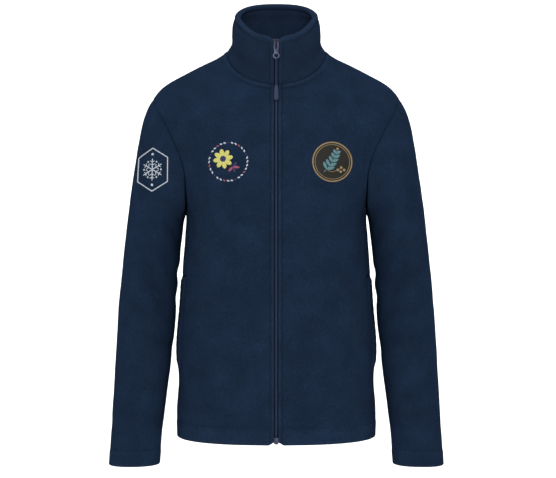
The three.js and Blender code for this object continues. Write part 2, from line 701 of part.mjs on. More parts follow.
// The slider: a front and a back plate, two flanges beside the chain, a wedge at the top and a bridge
// for the tab.
function sliderBody() {
  const { halfWidth, length, plate, flange, proud, wedge, bridgeRise, bridgeWide, bridgeWall } = slider;
  const depth = fleeceWall + tapeGap + tapeWall + slider.clearance + plate;
  const flangeDepth = fleeceWall + tapeGap - seamGap + proud;
  const parts = [
    boxAt(2 * halfWidth, length, plate, 0, 0, proud - plate / 2),
    boxAt(2 * halfWidth, length, plate, 0, 0, -depth + plate / 2),
    boxAt(wedge.width, wedge.length, depth + proud, 0, (length - wedge.length) / 2, (proud - depth) / 2),
  ];
  for (const side of [-1, 1]) {
    parts.push(boxAt(flange, length, flangeDepth, side * (halfWidth - flange / 2), 0, proud - flangeDepth / 2));
  }
  const arch = new THREE.Shape();
  const [reach, foot, crown] = [length / 2 - slider.bridgeInset, proud - slider.bridgeRoot, proud + bridgeRise];
  arch.moveTo(-reach, foot);
  arch.quadraticCurveTo(-reach, crown, 0, crown);
  arch.quadraticCurveTo(reach, crown, reach, foot);
  arch.lineTo(reach - bridgeWall, foot);
  arch.quadraticCurveTo(reach - bridgeWall, crown - bridgeWall, 0, crown - bridgeWall);
  arch.quadraticCurveTo(-reach + bridgeWall, crown - bridgeWall, -reach + bridgeWall, foot);
  const bridge = new THREE.ExtrudeGeometry(arch, { depth: bridgeWide, bevelEnabled: false, curveSegments: 6 });
  bridge.translate(0, 0, -bridgeWide / 2);
  bridge.applyMatrix4(
    new THREE.Matrix4().makeBasis(
      new THREE.Vector3(0, 1, 0),
      new THREE.Vector3(0, 0, 1),
      new THREE.Vector3(1, 0, 0),
    ),
  );
  return joined(...parts, bridge).applyMatrix4(zipFrame(slider.level));
}

// The pull tab: a top bar under the bridge, a window for the bridge, a waist and a ring.
function pullTab() {
  const outline = new THREE.Shape();
  const [half, waist, ring] = [tab.topWidth / 2, tab.waist / 2, tab.ringRadius];
  const top = -tab.bar / 2;
  const ringAt = top + tab.length - ring;
  const windowEnd = top + tab.bar + tab.window[1];
  const [bend, waistTop] = tab.shoulder.map((drop) => windowEnd + drop);
  outline.moveTo(-half + tab.corner, top);
  outline.lineTo(half - tab.corner, top);
  outline.quadraticCurveTo(half, top, half, top + tab.corner);
  outline.lineTo(half, windowEnd);
  outline.quadraticCurveTo(waist, bend, waist, waistTop);
  outline.absarc(0, ringAt, ring, -tab.ringTurn, Math.PI + tab.ringTurn, false);
  outline.lineTo(-waist, waistTop);
  outline.quadraticCurveTo(-waist, bend, -half, windowEnd);
  outline.lineTo(-half, top + tab.corner);
  outline.quadraticCurveTo(-half, top, -half + tab.corner, top);
  const hole = new THREE.Path().absarc(0, ringAt, tab.holeRadius, 0, 2 * Math.PI, true);
  const window = new THREE.Path();
  window.moveTo(-tab.window[0] / 2, top + tab.bar);
  window.lineTo(-tab.window[0] / 2, windowEnd);
  window.lineTo(tab.window[0] / 2, windowEnd);
  window.lineTo(tab.window[0] / 2, top + tab.bar);
  outline.holes.push(hole, window);
  const plate = new THREE.ExtrudeGeometry(outline, { depth: tab.wall, bevelEnabled: false, curveSegments: 7 });
  plate.translate(0, 0, -tab.wall / 2).rotateZ(Math.PI);
  return plate.applyMatrix4(pullFrame());
}

// The line of the puller cord in the pull's frame: up in front of the tab's ring, through its hole and
// down behind it.
function cordLine() {
  const ringEnd = tab.bar / 2 - tab.length;
  const holeEnd = ringEnd + tab.ringRadius - tab.holeRadius;
  const gripTop = ringEnd - cord.drop;
  const side = cord.radius + 0.15;
  const clear = tab.wall / 2 + cord.radius + 0.3;
  const half = [
    [side, gripTop - cord.socket, 0],
    [side, gripTop + 4, 0],
    [side, gripTop + 18, 0.1],
    [side, ringEnd - 16, 0.5],
    [side, ringEnd - 5, 1.5],
    [side, ringEnd - 1, clear],
    [side * 0.85, holeEnd - 0.2, clear],
    [side * 0.5, holeEnd + cord.radius + 0.2, clear * 0.72],
  ];
  const crown = [0, holeEnd + cord.radius + 0.55, 0];
  const back = half.map(([x, y, z]) => [-x, y, -z]).reverse();
  return [...half, crown, ...back].map(([x, y, z]) => new THREE.Vector3(x, y, z));
}

function pullerLoop() {
  const path = new THREE.CatmullRomCurve3(cordLine(), false, "centripetal");
  const round = new THREE.Shape().absarc(0, 0, cord.radius, 0, 2 * Math.PI, false);
  const settings = { steps: 44, extrudePath: path, bevelEnabled: false, curveSegments: 4 };
  return new THREE.ExtrudeGeometry(round, settings).applyMatrix4(pullFrame());
}

// The moulded grip at the end of the cord, with a socket for each end of the loop.
function pullerGripBody() {
  const gripTop = tab.bar / 2 - tab.length - cord.drop;
  const count = 14;
  const outline = Array.from({ length: count }, (_, i) => {
    const turn = (2 * Math.PI * i) / count;
    const radius = oblongRadius(turn, 3);
    return [radius * Math.cos(turn), radius * Math.sin(turn)];
  });
  const sections = grip.sections.map(([down, width, depth]) =>
    outline.map(([x, z]) => new THREE.Vector3((x * width) / 2, gripTop - down, (z * depth) / 2)),
  );
  const sockets = [-1, 1].map((side) =>
    new THREE.CylinderGeometry(cord.radius + 0.2, cord.radius + 0.2, cord.socket + 1.3, 12).translate(
      side * (cord.radius + 0.15),
      gripTop + 1 - (cord.socket + 1.3) / 2,
      0,
    ),
  );
  return cut(loftGeometry(sections, outline), ...sockets).applyMatrix4(pullFrame());
}

// The stop at the foot of the zip, in front of the tapes and between the two fronts.
function zipStop() {
  const height = zipBox.top - zipBox.bottom;
  const outline = new THREE.Shape();
  const [half, round] = [zipBox.halfWidth, zipBox.corner];
  outline.moveTo(-half + round, 0);
  outline.lineTo(half - round, 0);
  outline.quadraticCurveTo(half, 0, half, round);
  outline.lineTo(half, height);
  outline.lineTo(-half, height);
  outline.lineTo(-half, round);
  outline.quadraticCurveTo(-half, 0, -half + round, 0);
  const face = tableValue(bodyRings, "level", zipBox.bottom, "frontY") - zipBox.proud;
  const thick = fleeceWall + tapeGap - zipBox.clearance + zipBox.proud;
  const block = new THREE.ExtrudeGeometry(outline, { depth: thick, bevelEnabled: false, curveSegments: 4 });
  return block.rotateX(Math.PI / 2).translate(0, face + thick, zipBox.bottom);
}

// The turned edge of a pocket mouth, a strip along the side seam that lies on the front.
function pocketWelt(side) {
  const levels = bodyLevels.filter((level) => level >= pocketBottom && level <= pocketTop);
  const layer = (outwards) =>
    levels.map((level) => {
      const end = Math.PI / 2 - seamInset(level, Math.PI / 2);
      const start = end - seamInset(level, Math.PI / 2) * (welt.width / (seamGap / 2));
      const height = THREE.MathUtils.clamp(level, levels[0] + welt.inset, levels.at(-1) - welt.inset);
      return [0, 0.5, 1].map((t) => bodySurface(height, side * mix(start, end, t), -outwards));
    });
  return wallGeometry(layer(seamGap + welt.wall), layer(seamGap));
}

// A pocket bag: one layer of cloth hung behind the front, from the pocket mouth to near the zip.
function pocketBag(side) {
  const columns = 7;
  const shared = bodyLevels.filter((l) => l > bag.bottom + 12 && l <= pocketTop + 5);
  const levels = [bag.bottom, bag.bottom + 8, ...shared];
  const layer = (inwards) =>
    levels.map((level) => {
      const start = angleAtX(bodyRings, level, bag.inner);
      const end = Math.PI / 2 + (seamInset(level, Math.PI / 2) * bag.overlap) / (seamGap / 2);
      return Array.from({ length: columns + 1 }, (_, j) => {
        const { drop, rise, share } = bag.corner;
        const inwardShare = 1 - ease(j / columns, 0, share);
        const corner = drop * inwardShare * (1 - ease(level, bag.bottom, bag.bottom + rise));
        const height = Math.max(level, bag.bottom + corner);
        return bodySurface(height, side * mix(start, end, j / columns), inwards);
      });
    });
  const depth = fleeceWall + bag.setBack;
  return wallGeometry(layer(depth), layer(depth + bag.wall));
}

for (const [word, side] of [["left", 1], ["right", -1]]) {
  addPiece("front_" + word, frontPanel(side), fleece);
  addPiece("sleeve_" + word, sleeve(side), fleece);
  addPiece("pocket_welt_" + word, pocketWelt(side), fleece);
  addPiece("pocket_bag_" + word, pocketBag(side), fleece);
  addPiece("zip_tape_" + word, zipTapeHalf(side), zipTape);
}
addPiece("back", backPanel(), fleece);
addPiece("collar", collar(), fleece);
addPiece("zip_stop", zipStop(), zipTape);
addPiece("zip_slider", sliderBody(), zipMetal);
addPiece("pull_tab", pullTab(), zipMetal);
addPiece("puller_cord", pullerLoop(), pullerCord);
addPiece("puller_grip", pullerGripBody(), pullerGrip);

export default jacket;
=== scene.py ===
# Zip-front fleece jacket with a stand collar, in the hollow form it keeps when it is worn.
# The pattern's tables are in millimetres, as a pattern cutter's are. Meshes are in metres.
import math

import bmesh
import bpy
import numpy as np
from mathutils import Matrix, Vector


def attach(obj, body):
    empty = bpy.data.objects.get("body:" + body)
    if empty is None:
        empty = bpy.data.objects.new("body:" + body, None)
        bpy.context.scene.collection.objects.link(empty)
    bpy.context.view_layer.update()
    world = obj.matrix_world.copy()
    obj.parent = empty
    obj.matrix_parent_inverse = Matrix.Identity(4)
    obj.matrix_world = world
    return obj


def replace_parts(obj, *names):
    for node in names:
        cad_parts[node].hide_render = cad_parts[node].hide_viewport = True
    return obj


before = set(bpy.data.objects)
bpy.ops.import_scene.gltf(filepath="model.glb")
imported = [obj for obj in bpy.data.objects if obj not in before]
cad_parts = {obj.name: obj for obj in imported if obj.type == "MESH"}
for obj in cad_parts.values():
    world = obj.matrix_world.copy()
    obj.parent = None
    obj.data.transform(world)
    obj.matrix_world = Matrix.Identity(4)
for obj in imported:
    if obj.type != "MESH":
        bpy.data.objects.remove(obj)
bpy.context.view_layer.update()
mm = 0.001

cameraPlace = {
    "distance": 2.2,  # from the plane of the side seams
    "height": -0.34,
    "aside": 0.003,
    "viewWidth": 1.0008,  # what the picture spans in that plane
    "sensor": 36,
}


def linkObject(name, data):
    item = bpy.data.objects.new(name, data)
    bpy.context.scene.collection.objects.link(item)
    return item


def makeCamera():
    data = bpy.data.cameras.new("camera")
    data.sensor_fit = "HORIZONTAL"
    data.sensor_width = cameraPlace["sensor"]
    data.lens = cameraPlace["sensor"] * cameraPlace["distance"] / cameraPlace["viewWidth"]
    camera = linkObject("camera", data)
    camera.location = (cameraPlace["aside"], -cameraPlace["distance"], cameraPlace["height"])
    camera.rotation_euler = (math.pi / 2, 0, 0)
    bpy.context.scene.camera = camera


makeCamera()
print("camera placed")


# Reading the pattern's tables

def ease(x, low, high):
    t = np.clip((x - low) / (high - low), 0, 1)
    return t * t * (3 - 2 * t)


def mix(a, b, t):
    return a + (b - a) * t


def spread(*values):
    # numbers and arrays, all brought to one shape
    return [np.asarray(value, float) for value in np.broadcast_arrays(*values)]


def makeTable(columns, rows):
    return {name: np.array([row[i] for row in rows], float) for i, name in enumerate(columns)}


def tableValue(table, key, at, column):
    keys, values = table[key], table[column]
    step = np.diff(keys)
    slope = np.diff(values) / step
    tangent = np.empty_like(values)
    tangent[0] = slope[0]
    tangent[-1] = slope[-1]
    tangent[1:-1] = (step[1:] * slope[:-1] + step[:-1] * slope[1:]) / (step[1:] + step[:-1])
    at = np.clip(at, keys[0], keys[-1])
    i = np.clip(np.searchsorted(keys, at, side="right") - 1, 0, len(step) - 1)
    t = (at - keys[i]) / step[i]
    return (
        (1 + 2 * t) * (1 - t) ** 2 * values[i]
        + t * (1 - t) ** 2 * step[i] * tangent[i]
        + t * t * (3 - 2 * t) * values[i + 1]
        - t * t * (1 - t) * step[i] * tangent[i + 1]
    )


# Rings round the body from the hem to the neck seam: a side point, a centre front and a centre back.
# square is the power of the rounded oblong, and dip bends a ring between its side and its centre.
ringColumns = ("level", "sideX", "frontY", "frontZ", "backY", "backZ", "square", "dip")
bodyRings = makeTable(ringColumns, [
    (-688, 177, -133, -688, 127, -690, 2.5, 1.5), (-640, 178, -132, -640, 124, -641, 2.5, 1.5),
    (-590, 174.8, -131, -590, 121, -590, 2.5, 1.5), (-545, 178, -130, -545, 119, -545, 2.5, 1.5),
    (-450, 172, -128, -450, 115, -450, 2.5, 1.5), (-385, 168, -129, -385, 115, -385, 2.5, 1.5),
    (-335, 164, -131, -336, 118, -335, 2.45, 1.5), (-292, 163, -132, -297, 122, -292, 2.4, 1.5),
    (-240, 188, -129, -253, 127, -239, 2.3, 1.45), (-180, 212, -121.5, -206, 129, -180, 2.2, 1.4),
    (-125, 225, -111, -166, 126, -128, 2.12, 1.3), (-86, 221, -101.5, -139, 119, -89, 2.08, 1.22),
    (-62, 199, -94.5, -122, 112, -65, 2.06, 1.18), (-41, 162, -87.5, -108, 102, -42, 2.05, 1.14),
    (-24, 128, -80, -96.5, 89, -18, 2.03, 1.1), (-14, 105, -72.5, -84, 74, 8, 2, 1.1),
    (-5, 89.5, -66.3, -70, 62, 24, 2, 1.1),
])
collarRings = makeTable((*ringColumns, "frontDip"), [
    (-4.7, 89.2, -66.3, -69.7, 62, 24.3, 2, 1.1, 1.1),
    (9, 80.8, -67, -54.5, 61.8, 37, 2, 1.02, 1.15),
    (27, 80, -67.5, -36, 61, 53.5, 2.03, 0.96, 1.25),
    (45.6, 78.3, -67.5, -15, 59.5, 71, 2.1, 0.91, 1.45),
    (62, 72.4, -66, 13.8, 57, 93.8, 2.25, 0.83, 1.75),
])
sleeveColumns = ("along", "outerX", "outerZ", "innerX", "innerZ", "centreY", "depth", "square")
sleeveRings = makeTable(sleeveColumns, [
    (0, 221, -86, 163, -292, 0, 72, 2), (18, 229.3, -101, 164.2, -296, 0, 73, 2.02),
    (52, 240.5, -131, 165.4, -301, 0, 75, 2.06), (96, 248.6, -174, 166.4, -307, -1, 77, 2.1),
    (145, 255.3, -222, 167.4, -315, -2, 78, 2.15), (194, 261.7, -270, 168.5, -327, -3, 78, 2.2),
    (243, 267.3, -318, 170.3, -346, -5, 76, 2.2), (290, 272.3, -364, 172.6, -374, -7, 72, 2.2),
    (372, 280.3, -446, 176.6, -446, -11, 64, 2.2), (470, 286.2, -543, 186, -541, -16, 55, 2.2),
    (540, 289.8, -613, 194.5, -611, -20, 48, 2.2), (620, 294.2, -693, 203.6, -691, -25, 40, 2.2),
    (665, 296.3, -738, 207.4, -737, -28, 36, 2.2),
])
pattern = {
    "hem": -688, "armpit": -292, "shoulder": -86, "neck": -5, "collarTop": 62, "cuff": 665,
    "biteFront": 39, "biteBack": 37,  # degrees that the armhole cuts in from the side
    "sleeveJoin": 170, "zipEdge": 4.6, "seamGap": 0.3,
    "wall": 2.6, "hemWall": 4.8, "hemDepth": 26, "cuffDepth": 25, "relief": 0.9,
    "collarWall": 6.5, "collarRoll": 9.6, "collarBend": 55,
    "pocketTop": -409, "pocketBottom": -567, "weltWidth": 9, "pocketSideX": 178,
}


def oblongRadius(angle, power):
    return (np.abs(np.sin(angle)) ** power + np.abs(np.cos(angle)) ** power) ** (-1 / power)


def ringPoint(rings, level, angle):
    level, angle = spread(level, angle)
    value = lambda column: tableValue(rings, "level", level, column)
    radius = oblongRadius(angle, value("square"))
    ahead = radius * np.cos(angle)
    front = ahead > 0
    share = np.abs(ahead)
    centreY = np.where(front, value("frontY"), value("backY"))
    centreZ = np.where(front, value("frontZ"), value("backZ"))
    dip = np.where(front, value("frontDip"), value("dip")) if "frontDip" in rings else value("dip")
    x = value("sideX") * radius * np.sin(angle)
    return np.stack([x, centreY * share, level + (centreZ - level) * share ** dip], axis=-1)


def angleAtX(rings, level, x):
    power = tableValue(rings, "level", level, "square")
    share = (np.asarray(x) / tableValue(rings, "level", level, "sideX")) ** power
    return np.arctan((share / (1 - share)) ** (1 / power))


def surfaceNormal(point, a, b, stepA, stepB):
    alongB = point(a, b + stepB) - point(a, b - stepB)
    alongA = point(a + stepA, b) - point(a - stepA, b)
    normal = np.cross(alongB, alongA)
    return normal / np.linalg.norm(normal, axis=-1, keepdims=True)


# Folds of the cloth. size is half the width of a fold, run half its length, turn its slant in degrees,
# and depth how far it goes in, or stands out where it is below zero.
# Columns: height or distance down the sleeve, angle round, run, size, turn and depth.
bodyFolds = [
    (-345, 60, 70, 24, 24, 3.2), (-205, 50, 60, 22, -22, 2.6), (-480, 72, 90, 26, 8, 2.4),
    (-560, 38, 95, 30, -5, 1.8), (-330, 124, 90, 26, -20, 3.4), (-500, 140, 110, 30, 10, 2.6),
    (-180, 134, 70, 24, 18, 2.6),
]
sleeveFolds = [
    (300, 110, 60, 16, 58, 3.6), (352, 125, 62, 18, 66, 3.8), (322, 205, 64, 16, 96, 4.0),
    (372, 215, 60, 18, 78, 3.4), (210, 140, 66, 20, 30, 3.2), (470, 70, 80, 22, 20, 2.2),
]
# The smaller ones are only in the cloth's surface. side is 1 or -1 for a fold on one half alone.
fineBodyFolds = [
    (-262, 57, 42, 12, 12, 1.6, 0), (-310, 64, 46, 11, 34, 1.5, 0), (-395, 66, 60, 14, -14, 1.1, 1),
    (-430, 58, 70, 16, 10, 1.2, -1), (-520, 30, 80, 20, -4, 1.0, 1), (-600, 56, 60, 18, 12, 1.2, -1),
    (-585, 50, 62, 18, -10, 1.1, 1), (-150, 30, 50, 16, 40, 0.9, 0), (-640, 24, 40, 16, 70, 0.8, -1),
    (-120, 150, 60, 18, -60, 1.8, 0), (-250, 150, 80, 18, -24, 1.8, 0), (-400, 165, 90, 22, 14, 1.4, 1),
    (-440, 155, 90, 20, -18, 1.5, -1), (-610, 130, 70, 18, 16, 1.6, 0),
]
fineSleeveFolds = [
    (306, 90, 32, 16, 31, 2.0, 0), (292, 128, 36, 17, 22, 2.2, 0), (380, 122, 44, 12, 30, 1.6, 0),
    (262, 96, 40, 10, 42, 1.2, 0), (338, 84, 44, 16, 60, 1.4, 1), (350, 100, 46, 16, 52, 1.5, -1),
    (395, 104, 46, 12, 74, 1.8, 0), (430, 60, 60, 14, 38, 1.2, 1), (452, 150, 60, 14, 70, 1.8, 0),
    (515, 95, 52, 13, 64, 1.3, -1), (530, 80, 50, 13, 56, 1.2, 1), (585, 110, 50, 12, 70, 1.4, 0),
    (610, 30, 46, 12, 40, 1.0, 0), (150, 60, 60, 14, 12, 1.2, 0), (290, 262, 60, 16, 66, 2.0, 0),
    (410, 250, 60, 16, 80, 1.8, 0),
]


def foldDepth(folds, down, across, side=None):
    total = 0.0
    for fold in folds:
        atDown, atAcross, run, size, turn, depth, half = fold if len(fold) == 7 else (*fold, 0)
        turn = math.radians(turn)
        offDown, offAcross = down(atDown), across(atAcross)
        along = (offDown * math.cos(turn) + offAcross * math.sin(turn)) / run
        beside = (offAcross * math.cos(turn) - offDown * math.sin(turn)) / size
        shown = 1.0 if half == 0 or side is None else (np.asarray(side) == half).astype(float)
        total = total + shown * depth * np.exp(-beside * beside - along * along)
    return total


def ripple(points, length, seed):
    # soft unevenness of hanging cloth, about `length` millimetres from swell to swell
    rng = np.random.default_rng(seed)
    total = 0.0
    for _ in range(7):
        direction = rng.normal(size=3)
        direction /= np.linalg.norm(direction)
        wave = length * rng.uniform(0.75, 1.5)
        total = total + np.sin(points @ direction * (2 * math.pi / wave) + rng.uniform(0, 2 * math.pi))
    return total / 7


def inHem(distance, depth):
    # 1 in a turned hem or cuff, 0 above it
    return 1 - ease(distance, depth - 3, depth + 3)


def bodyPlain(level, angle):
    return ringPoint(bodyRings, level, angle)


def bodyNormal(level, angle):
    return surfaceNormal(bodyPlain, level, angle, 0.5, 0.004)


def bodySurface(level, angle, inwards=0.0, fine=None):
    level, angle = spread(level, angle)
    normal = bodyNormal(level, angle)
    point = bodyPlain(level, angle)
    sideX = tableValue(bodyRings, "level", level, "sideX")
    turned = np.minimum(np.abs(angle), 2 * math.pi - np.abs(angle))
    down = lambda at: level - at
    across = lambda at: (turned - math.radians(at)) * sideX * 0.85
    push = pattern["relief"] * inHem(level - pattern["hem"], pattern["hemDepth"])
    nearZip = ease(np.abs(point[..., 0]), 30, 60)
    push = push - foldDepth(bodyFolds, down, across) * nearZip - inwards
    if fine is not None:
        side = np.where(point[..., 0] >= 0, 1, -1)
        push = push - foldDepth(fineBodyFolds, down, across, side) * nearZip * fine
        swell = 0.55 * ripple(point, 70, 3) + 0.35 * ripple(point, 34, 5)
        push = push + swell * fine * ease(np.abs(point[..., 0]), 12, 60)
    return point + normal * push[..., None]


def armholeLevel(turn):
    return mix(pattern["armpit"], pattern["shoulder"], (1 + np.cos(turn)) / 2)


def armholeAngle(turn):
    sine = np.sin(turn)
    bite = np.where(sine > 0, pattern["biteFront"], pattern["biteBack"])
    return math.pi / 2 - np.radians(bite) * np.sign(sine) * np.abs(sine) ** 0.75


def armholeTurn(level):
    low, high = pattern["armpit"], pattern["shoulder"]
    return np.arccos(np.clip(2 * (level - low) / (high - low) - 1, -1, 1))


def panelEdge(level, isBack):
    turn = armholeTurn(level)
    edge = armholeAngle(-turn if isBack else turn)
    return np.where((level <= pattern["armpit"]) | (level >= pattern["shoulder"]), math.pi / 2, edge)


def sleevePlain(along, turn):
    along, turn = spread(along, turn)
    value = lambda column: tableValue(sleeveRings, "along", along, column)
    outerX, innerX, outerZ, innerZ = (sleeveRings[k][0] for k in ("outerX", "innerX", "outerZ", "innerZ"))
    start = np.array([outerX - innerX, outerZ - innerZ]) / 2
    halfX = (value("outerX") - value("innerX")) / 2
    halfZ = (value("outerZ") - value("innerZ")) / 2
    seam = bodySurface(armholeLevel(turn), armholeAngle(turn))
    fromX, fromZ = seam[..., 0] - (outerX + innerX) / 2, seam[..., 2] - (outerZ + innerZ) / 2
    seamAcross = (fromX * start[0] + fromZ * start[1]) / (start @ start)
    seamOut = (fromX * start[1] - fromZ * start[0]) / np.linalg.norm(start)
    keep = 1 - ease(along, 0, pattern["sleeveJoin"])
    radius = oblongRadius(turn, value("square"))
    across = mix(radius * np.cos(turn), seamAcross, keep)
    size = np.hypot(halfX, halfZ)
    x = (value("outerX") + value("innerX")) / 2 + halfX * across + halfZ / size * seamOut * keep
    y = mix(value("centreY") - value("depth") * radius * np.sin(turn), seam[..., 1], keep)
    z = (value("outerZ") + value("innerZ")) / 2 + halfZ * across - halfX / size * seamOut * keep
    return np.stack([x, y, z], axis=-1)


def sleeveNormal(along, turn):
    return surfaceNormal(sleevePlain, np.maximum(along, 1), turn, 0.5, 0.01)


def sleeveCreases(along, turn, side, folds=fineSleeveFolds):
    girth = tableValue(sleeveRings, "along", along, "depth") + 50
    down = lambda at: along - at
    across = lambda at: (np.mod(turn - math.radians(at) + math.pi, 2 * math.pi) - math.pi) * girth / 2
    return foldDepth(folds, down, across, side)


def sleeveSurface(along, turn, inwards=0.0, fine=None, side=1):
    along, turn = spread(along, turn)
    normal = sleeveNormal(along, turn)
    point = sleevePlain(along, turn)
    fromSeam = ease(along, 0, 70)
    push = pattern["relief"] * inHem(pattern["cuff"] - along, pattern["cuffDepth"])
    push = push - sleeveCreases(along, turn, side, sleeveFolds) * fromSeam - inwards
    if fine is not None:
        push = push - sleeveCreases(along, turn, side) * fromSeam * fine
        swell = 0.5 * ripple(point, 62, 11 + side) + 0.35 * ripple(point, 30, 15 + side)
        push = push + swell * fine * ease(along, 0, 40)
    return point + normal * push[..., None]


def collarPlain(level, angle):
    return ringPoint(collarRings, level, angle)


def collarSurface(level, angle, inwards=0.0):
    level, angle = spread(level, angle)
    inside = np.clip(level, pattern["neck"] + 0.8, pattern["collarTop"] - 0.5)
    normal = surfaceNormal(collarPlain, inside, angle, 0.5, 0.01)
    return collarPlain(level, angle) - normal * np.asarray(inwards)[..., None]


# Materials

def hexColour(code):
    channels = [int(code[i:i + 2], 16) / 255 for i in (1, 3, 5)]
    linear = [c / 12.92 if c <= 0.04045 else ((c + 0.055) / 1.055) ** 2.4 for c in channels]
    return (*linear, 1)


def addNode(tree, kind, settings=None, **inputs):
    # adds a node, sets its options and then its sockets, from values or from other sockets
    node = tree.nodes.new(kind)
    for name, value in (settings or {}).items():
        setattr(node, name, value)
    for name, value in inputs.items():
        socket = node.inputs[int(name[2:]) if name[2:].isdigit() else name.replace("_", " ")]
        if isinstance(value, bpy.types.NodeSocket):
            tree.links.new(value, socket)
        else:
            socket.default_value = value
    return node


def addScaled(tree, value, factor, base):
    sums = {"operation": "MULTIPLY_ADD"}
    return addNode(tree, "ShaderNodeMath", sums, in0=value, in1=factor, in2=base).outputs[0]


def newMaterial(name):
    material = bpy.data.materials.new(name)
    material.use_nodes = True
    material.node_tree.nodes.clear()
    return material, material.node_tree


def finishMaterial(tree, **inputs):
    shader = addNode(tree, "ShaderNodeBsdfPrincipled", **inputs)
    addNode(tree, "ShaderNodeOutputMaterial", Surface=shader.outputs["BSDF"])


def colourRamp(tree, factor, stops):
    node = addNode(tree, "ShaderNodeValToRGB", in0=factor)
    ramp = node.color_ramp
    while len(ramp.elements) < len(stops):
        ramp.elements.new(0.5)
    for element, (place, code) in zip(ramp.elements, stops):
        element.position = place
        element.color = hexColour(code)
    return node.outputs["Color"]


fleeceLook = {
    "dark": "#0F1825", "base": "#131E2E", "light": "#172538",
    "clump": 2.6, "pile": 0.9, "mottle": 38,  # millimetres
    # the last of these is a painted sheen: how much paler the colour is made at grazing angles
    "bump": 0.5, "roughness": 0.95, "specular": 0.0, "paintedSheen": 0.3,
    "napAndPaintedLight": 0.5,  # how much paler the colour is on pressed bands and under painted highlights, and darker under painted shade in seams, stitch grooves and creases
}


def fleeceMaterial(name, look):
    # Brushed polyester fleece: a matt nap that lies in small tufts, with a painted sheen that makes the
    # colour paler at grazing angles.
    material, tree = newMaterial(name)
    place = addNode(tree, "ShaderNodeTexCoord").outputs["Object"]
    noises = []
    for size, detail, roughness in (("clump", 3.0, 0.6), ("pile", 2.0, 0.7), ("mottle", 2.0, 0.5)):
        noise = addNode(tree, "ShaderNodeTexNoise", Vector=place, Scale=1 / (look[size] * mm), Detail=detail,
                        Roughness=roughness)
        noises.append(noise.outputs["Fac"])
    tufts, nap, mottle = noises
    both = addScaled(tree, nap, 0.55, tufts)
    tone = addScaled(tree, mottle, 0.5, both)
    span = addNode(tree, "ShaderNodeMapRange", in0=tone, in1=0.72, in2=1.34, in3=0.0, in4=1.0)
    stops = [(0.0, look["dark"]), (0.5, look["base"]), (1.0, look["light"])]
    colour = colourRamp(tree, span.outputs[0], stops)
    napAndPaintedLight = addNode(tree, "ShaderNodeAttribute", {"attribute_name": "napAndPaintedLight"}).outputs["Fac"]
    # painted sheen: the colour is made paler at grazing angles, then scaled by the attribute of pressed nap
    # and painted light and shade
    grazing = addNode(tree, "ShaderNodeLayerWeight", Blend=0.5).outputs["Facing"]
    paintedSheen = addScaled(tree, grazing, look["paintedSheen"], addScaled(tree, napAndPaintedLight, look["napAndPaintedLight"], 1.0))
    shaded = addNode(tree, "ShaderNodeVectorMath", {"operation": "SCALE"}, in0=colour, Scale=paintedSheen)
    bump = addNode(tree, "ShaderNodeBump", Strength=look["bump"], Distance=0.9 * mm, Height=both)
    finishMaterial(tree, Base_Color=shaded.outputs["Vector"], Normal=bump.outputs["Normal"],
                   Roughness=look["roughness"], Specular_IOR_Level=look["specular"])
    return material


# The smaller things' finishes. grain is the size in millimetres of a noise, rib that of ribs or stitches.
# shade is how much the pattern darkens the colour, bump its strength and deep its height in millimetres.
finishes = {
    # spun polyester thread: a slight lustre and a fine twist
    "thread": {"grain": 0.5, "shade": 0.35, "bump": 0.4, "deep": 0.15, "roughness": 0.7, "specular": 0.12},
    "cord": {"grain": 0.5, "shade": 0.35, "bump": 0.4, "deep": 0.15, "roughness": 0.6, "specular": 0.1},
    # woven polyester tape: narrow ribs that run up it
    "tape": {"rib": 0.9, "bend": 0.4, "bump": 0.5, "deep": 0.3, "roughness": 0.8, "specular": 0.05},
    # die-cast zinc with a dark lacquer: soft highlights, a faint orange peel and rubbed patches
    "zinc": {"grain": 1.2, "bump": 0.15, "deep": 0.1, "roughness": 0.36, "metallic": 0.85},
    "darkZinc": {"grain": 1.2, "bump": 0.15, "deep": 0.1, "roughness": 0.34, "metallic": 0.85},
    # moulded plastic: an even fine grain from the tool
    "coil": {"grain": 0.8, "bump": 0.25, "deep": 0.15, "roughness": 0.5, "specular": 0.08},
    "grip": {"grain": 0.7, "bump": 0.25, "deep": 0.15, "roughness": 0.6, "specular": 0.2},
    # trilobal polyester embroidery: satin stitches side by side, with a painted highlight along each thread
    # and painted shade between them
    "embroidery": {"rib": 0.9, "bend": 0.6, "slant": 35, "shade": 0.25, "bump": 0.5, "deep": 0.25,
                   "roughness": 0.5, "specular": 0.12},
}


def finishedMaterial(name, finish, code):
    look = finishes[finish]
    material, tree = newMaterial(name)
    place = addNode(tree, "ShaderNodeTexCoord").outputs["Object"]
    if "slant" in look:
        place = addNode(tree, "ShaderNodeMapping", Vector=place,
                        Rotation=(0, math.radians(look["slant"]), 0)).outputs["Vector"]
    if "rib" in look:
        bands = {"wave_type": "BANDS", "bands_direction": "X"}
        detail = addNode(tree, "ShaderNodeTexWave", bands, Vector=place, Distortion=look["bend"],
                         Scale=0.5 / (look["rib"] * mm) / (math.pi * 2))
    else:
        detail = addNode(tree, "ShaderNodeTexNoise", Vector=place, Scale=1 / (look["grain"] * mm), Detail=2.0)
    height = detail.outputs["Fac"]
    bump = addNode(tree, "ShaderNodeBump", Strength=look["bump"], Distance=look["deep"] * mm, Height=height)
    inputs = {"Base_Color": hexColour(code), "Normal": bump.outputs["Normal"], "Roughness": look["roughness"]}
    if "shade" in look:
        shade = addNode(tree, "ShaderNodeMixRGB", {"blend_type": "MULTIPLY"}, Fac=look["shade"],
                        Color1=hexColour(code), Color2=detail.outputs["Color"])
        inputs["Base_Color"] = shade.outputs["Color"]
    if "specular" in look:
        inputs["Specular_IOR_Level"] = look["specular"]
    if "metallic" in look:
        wear = addNode(tree, "ShaderNodeMapRange", in0=height, in1=0.3, in2=0.7, in3=look["roughness"] - 0.08,
                       in4=look["roughness"] + 0.1)
        inputs.update(Metallic=look["metallic"], Roughness=wear.outputs[0])
    finishMaterial(tree, **inputs)
    return material
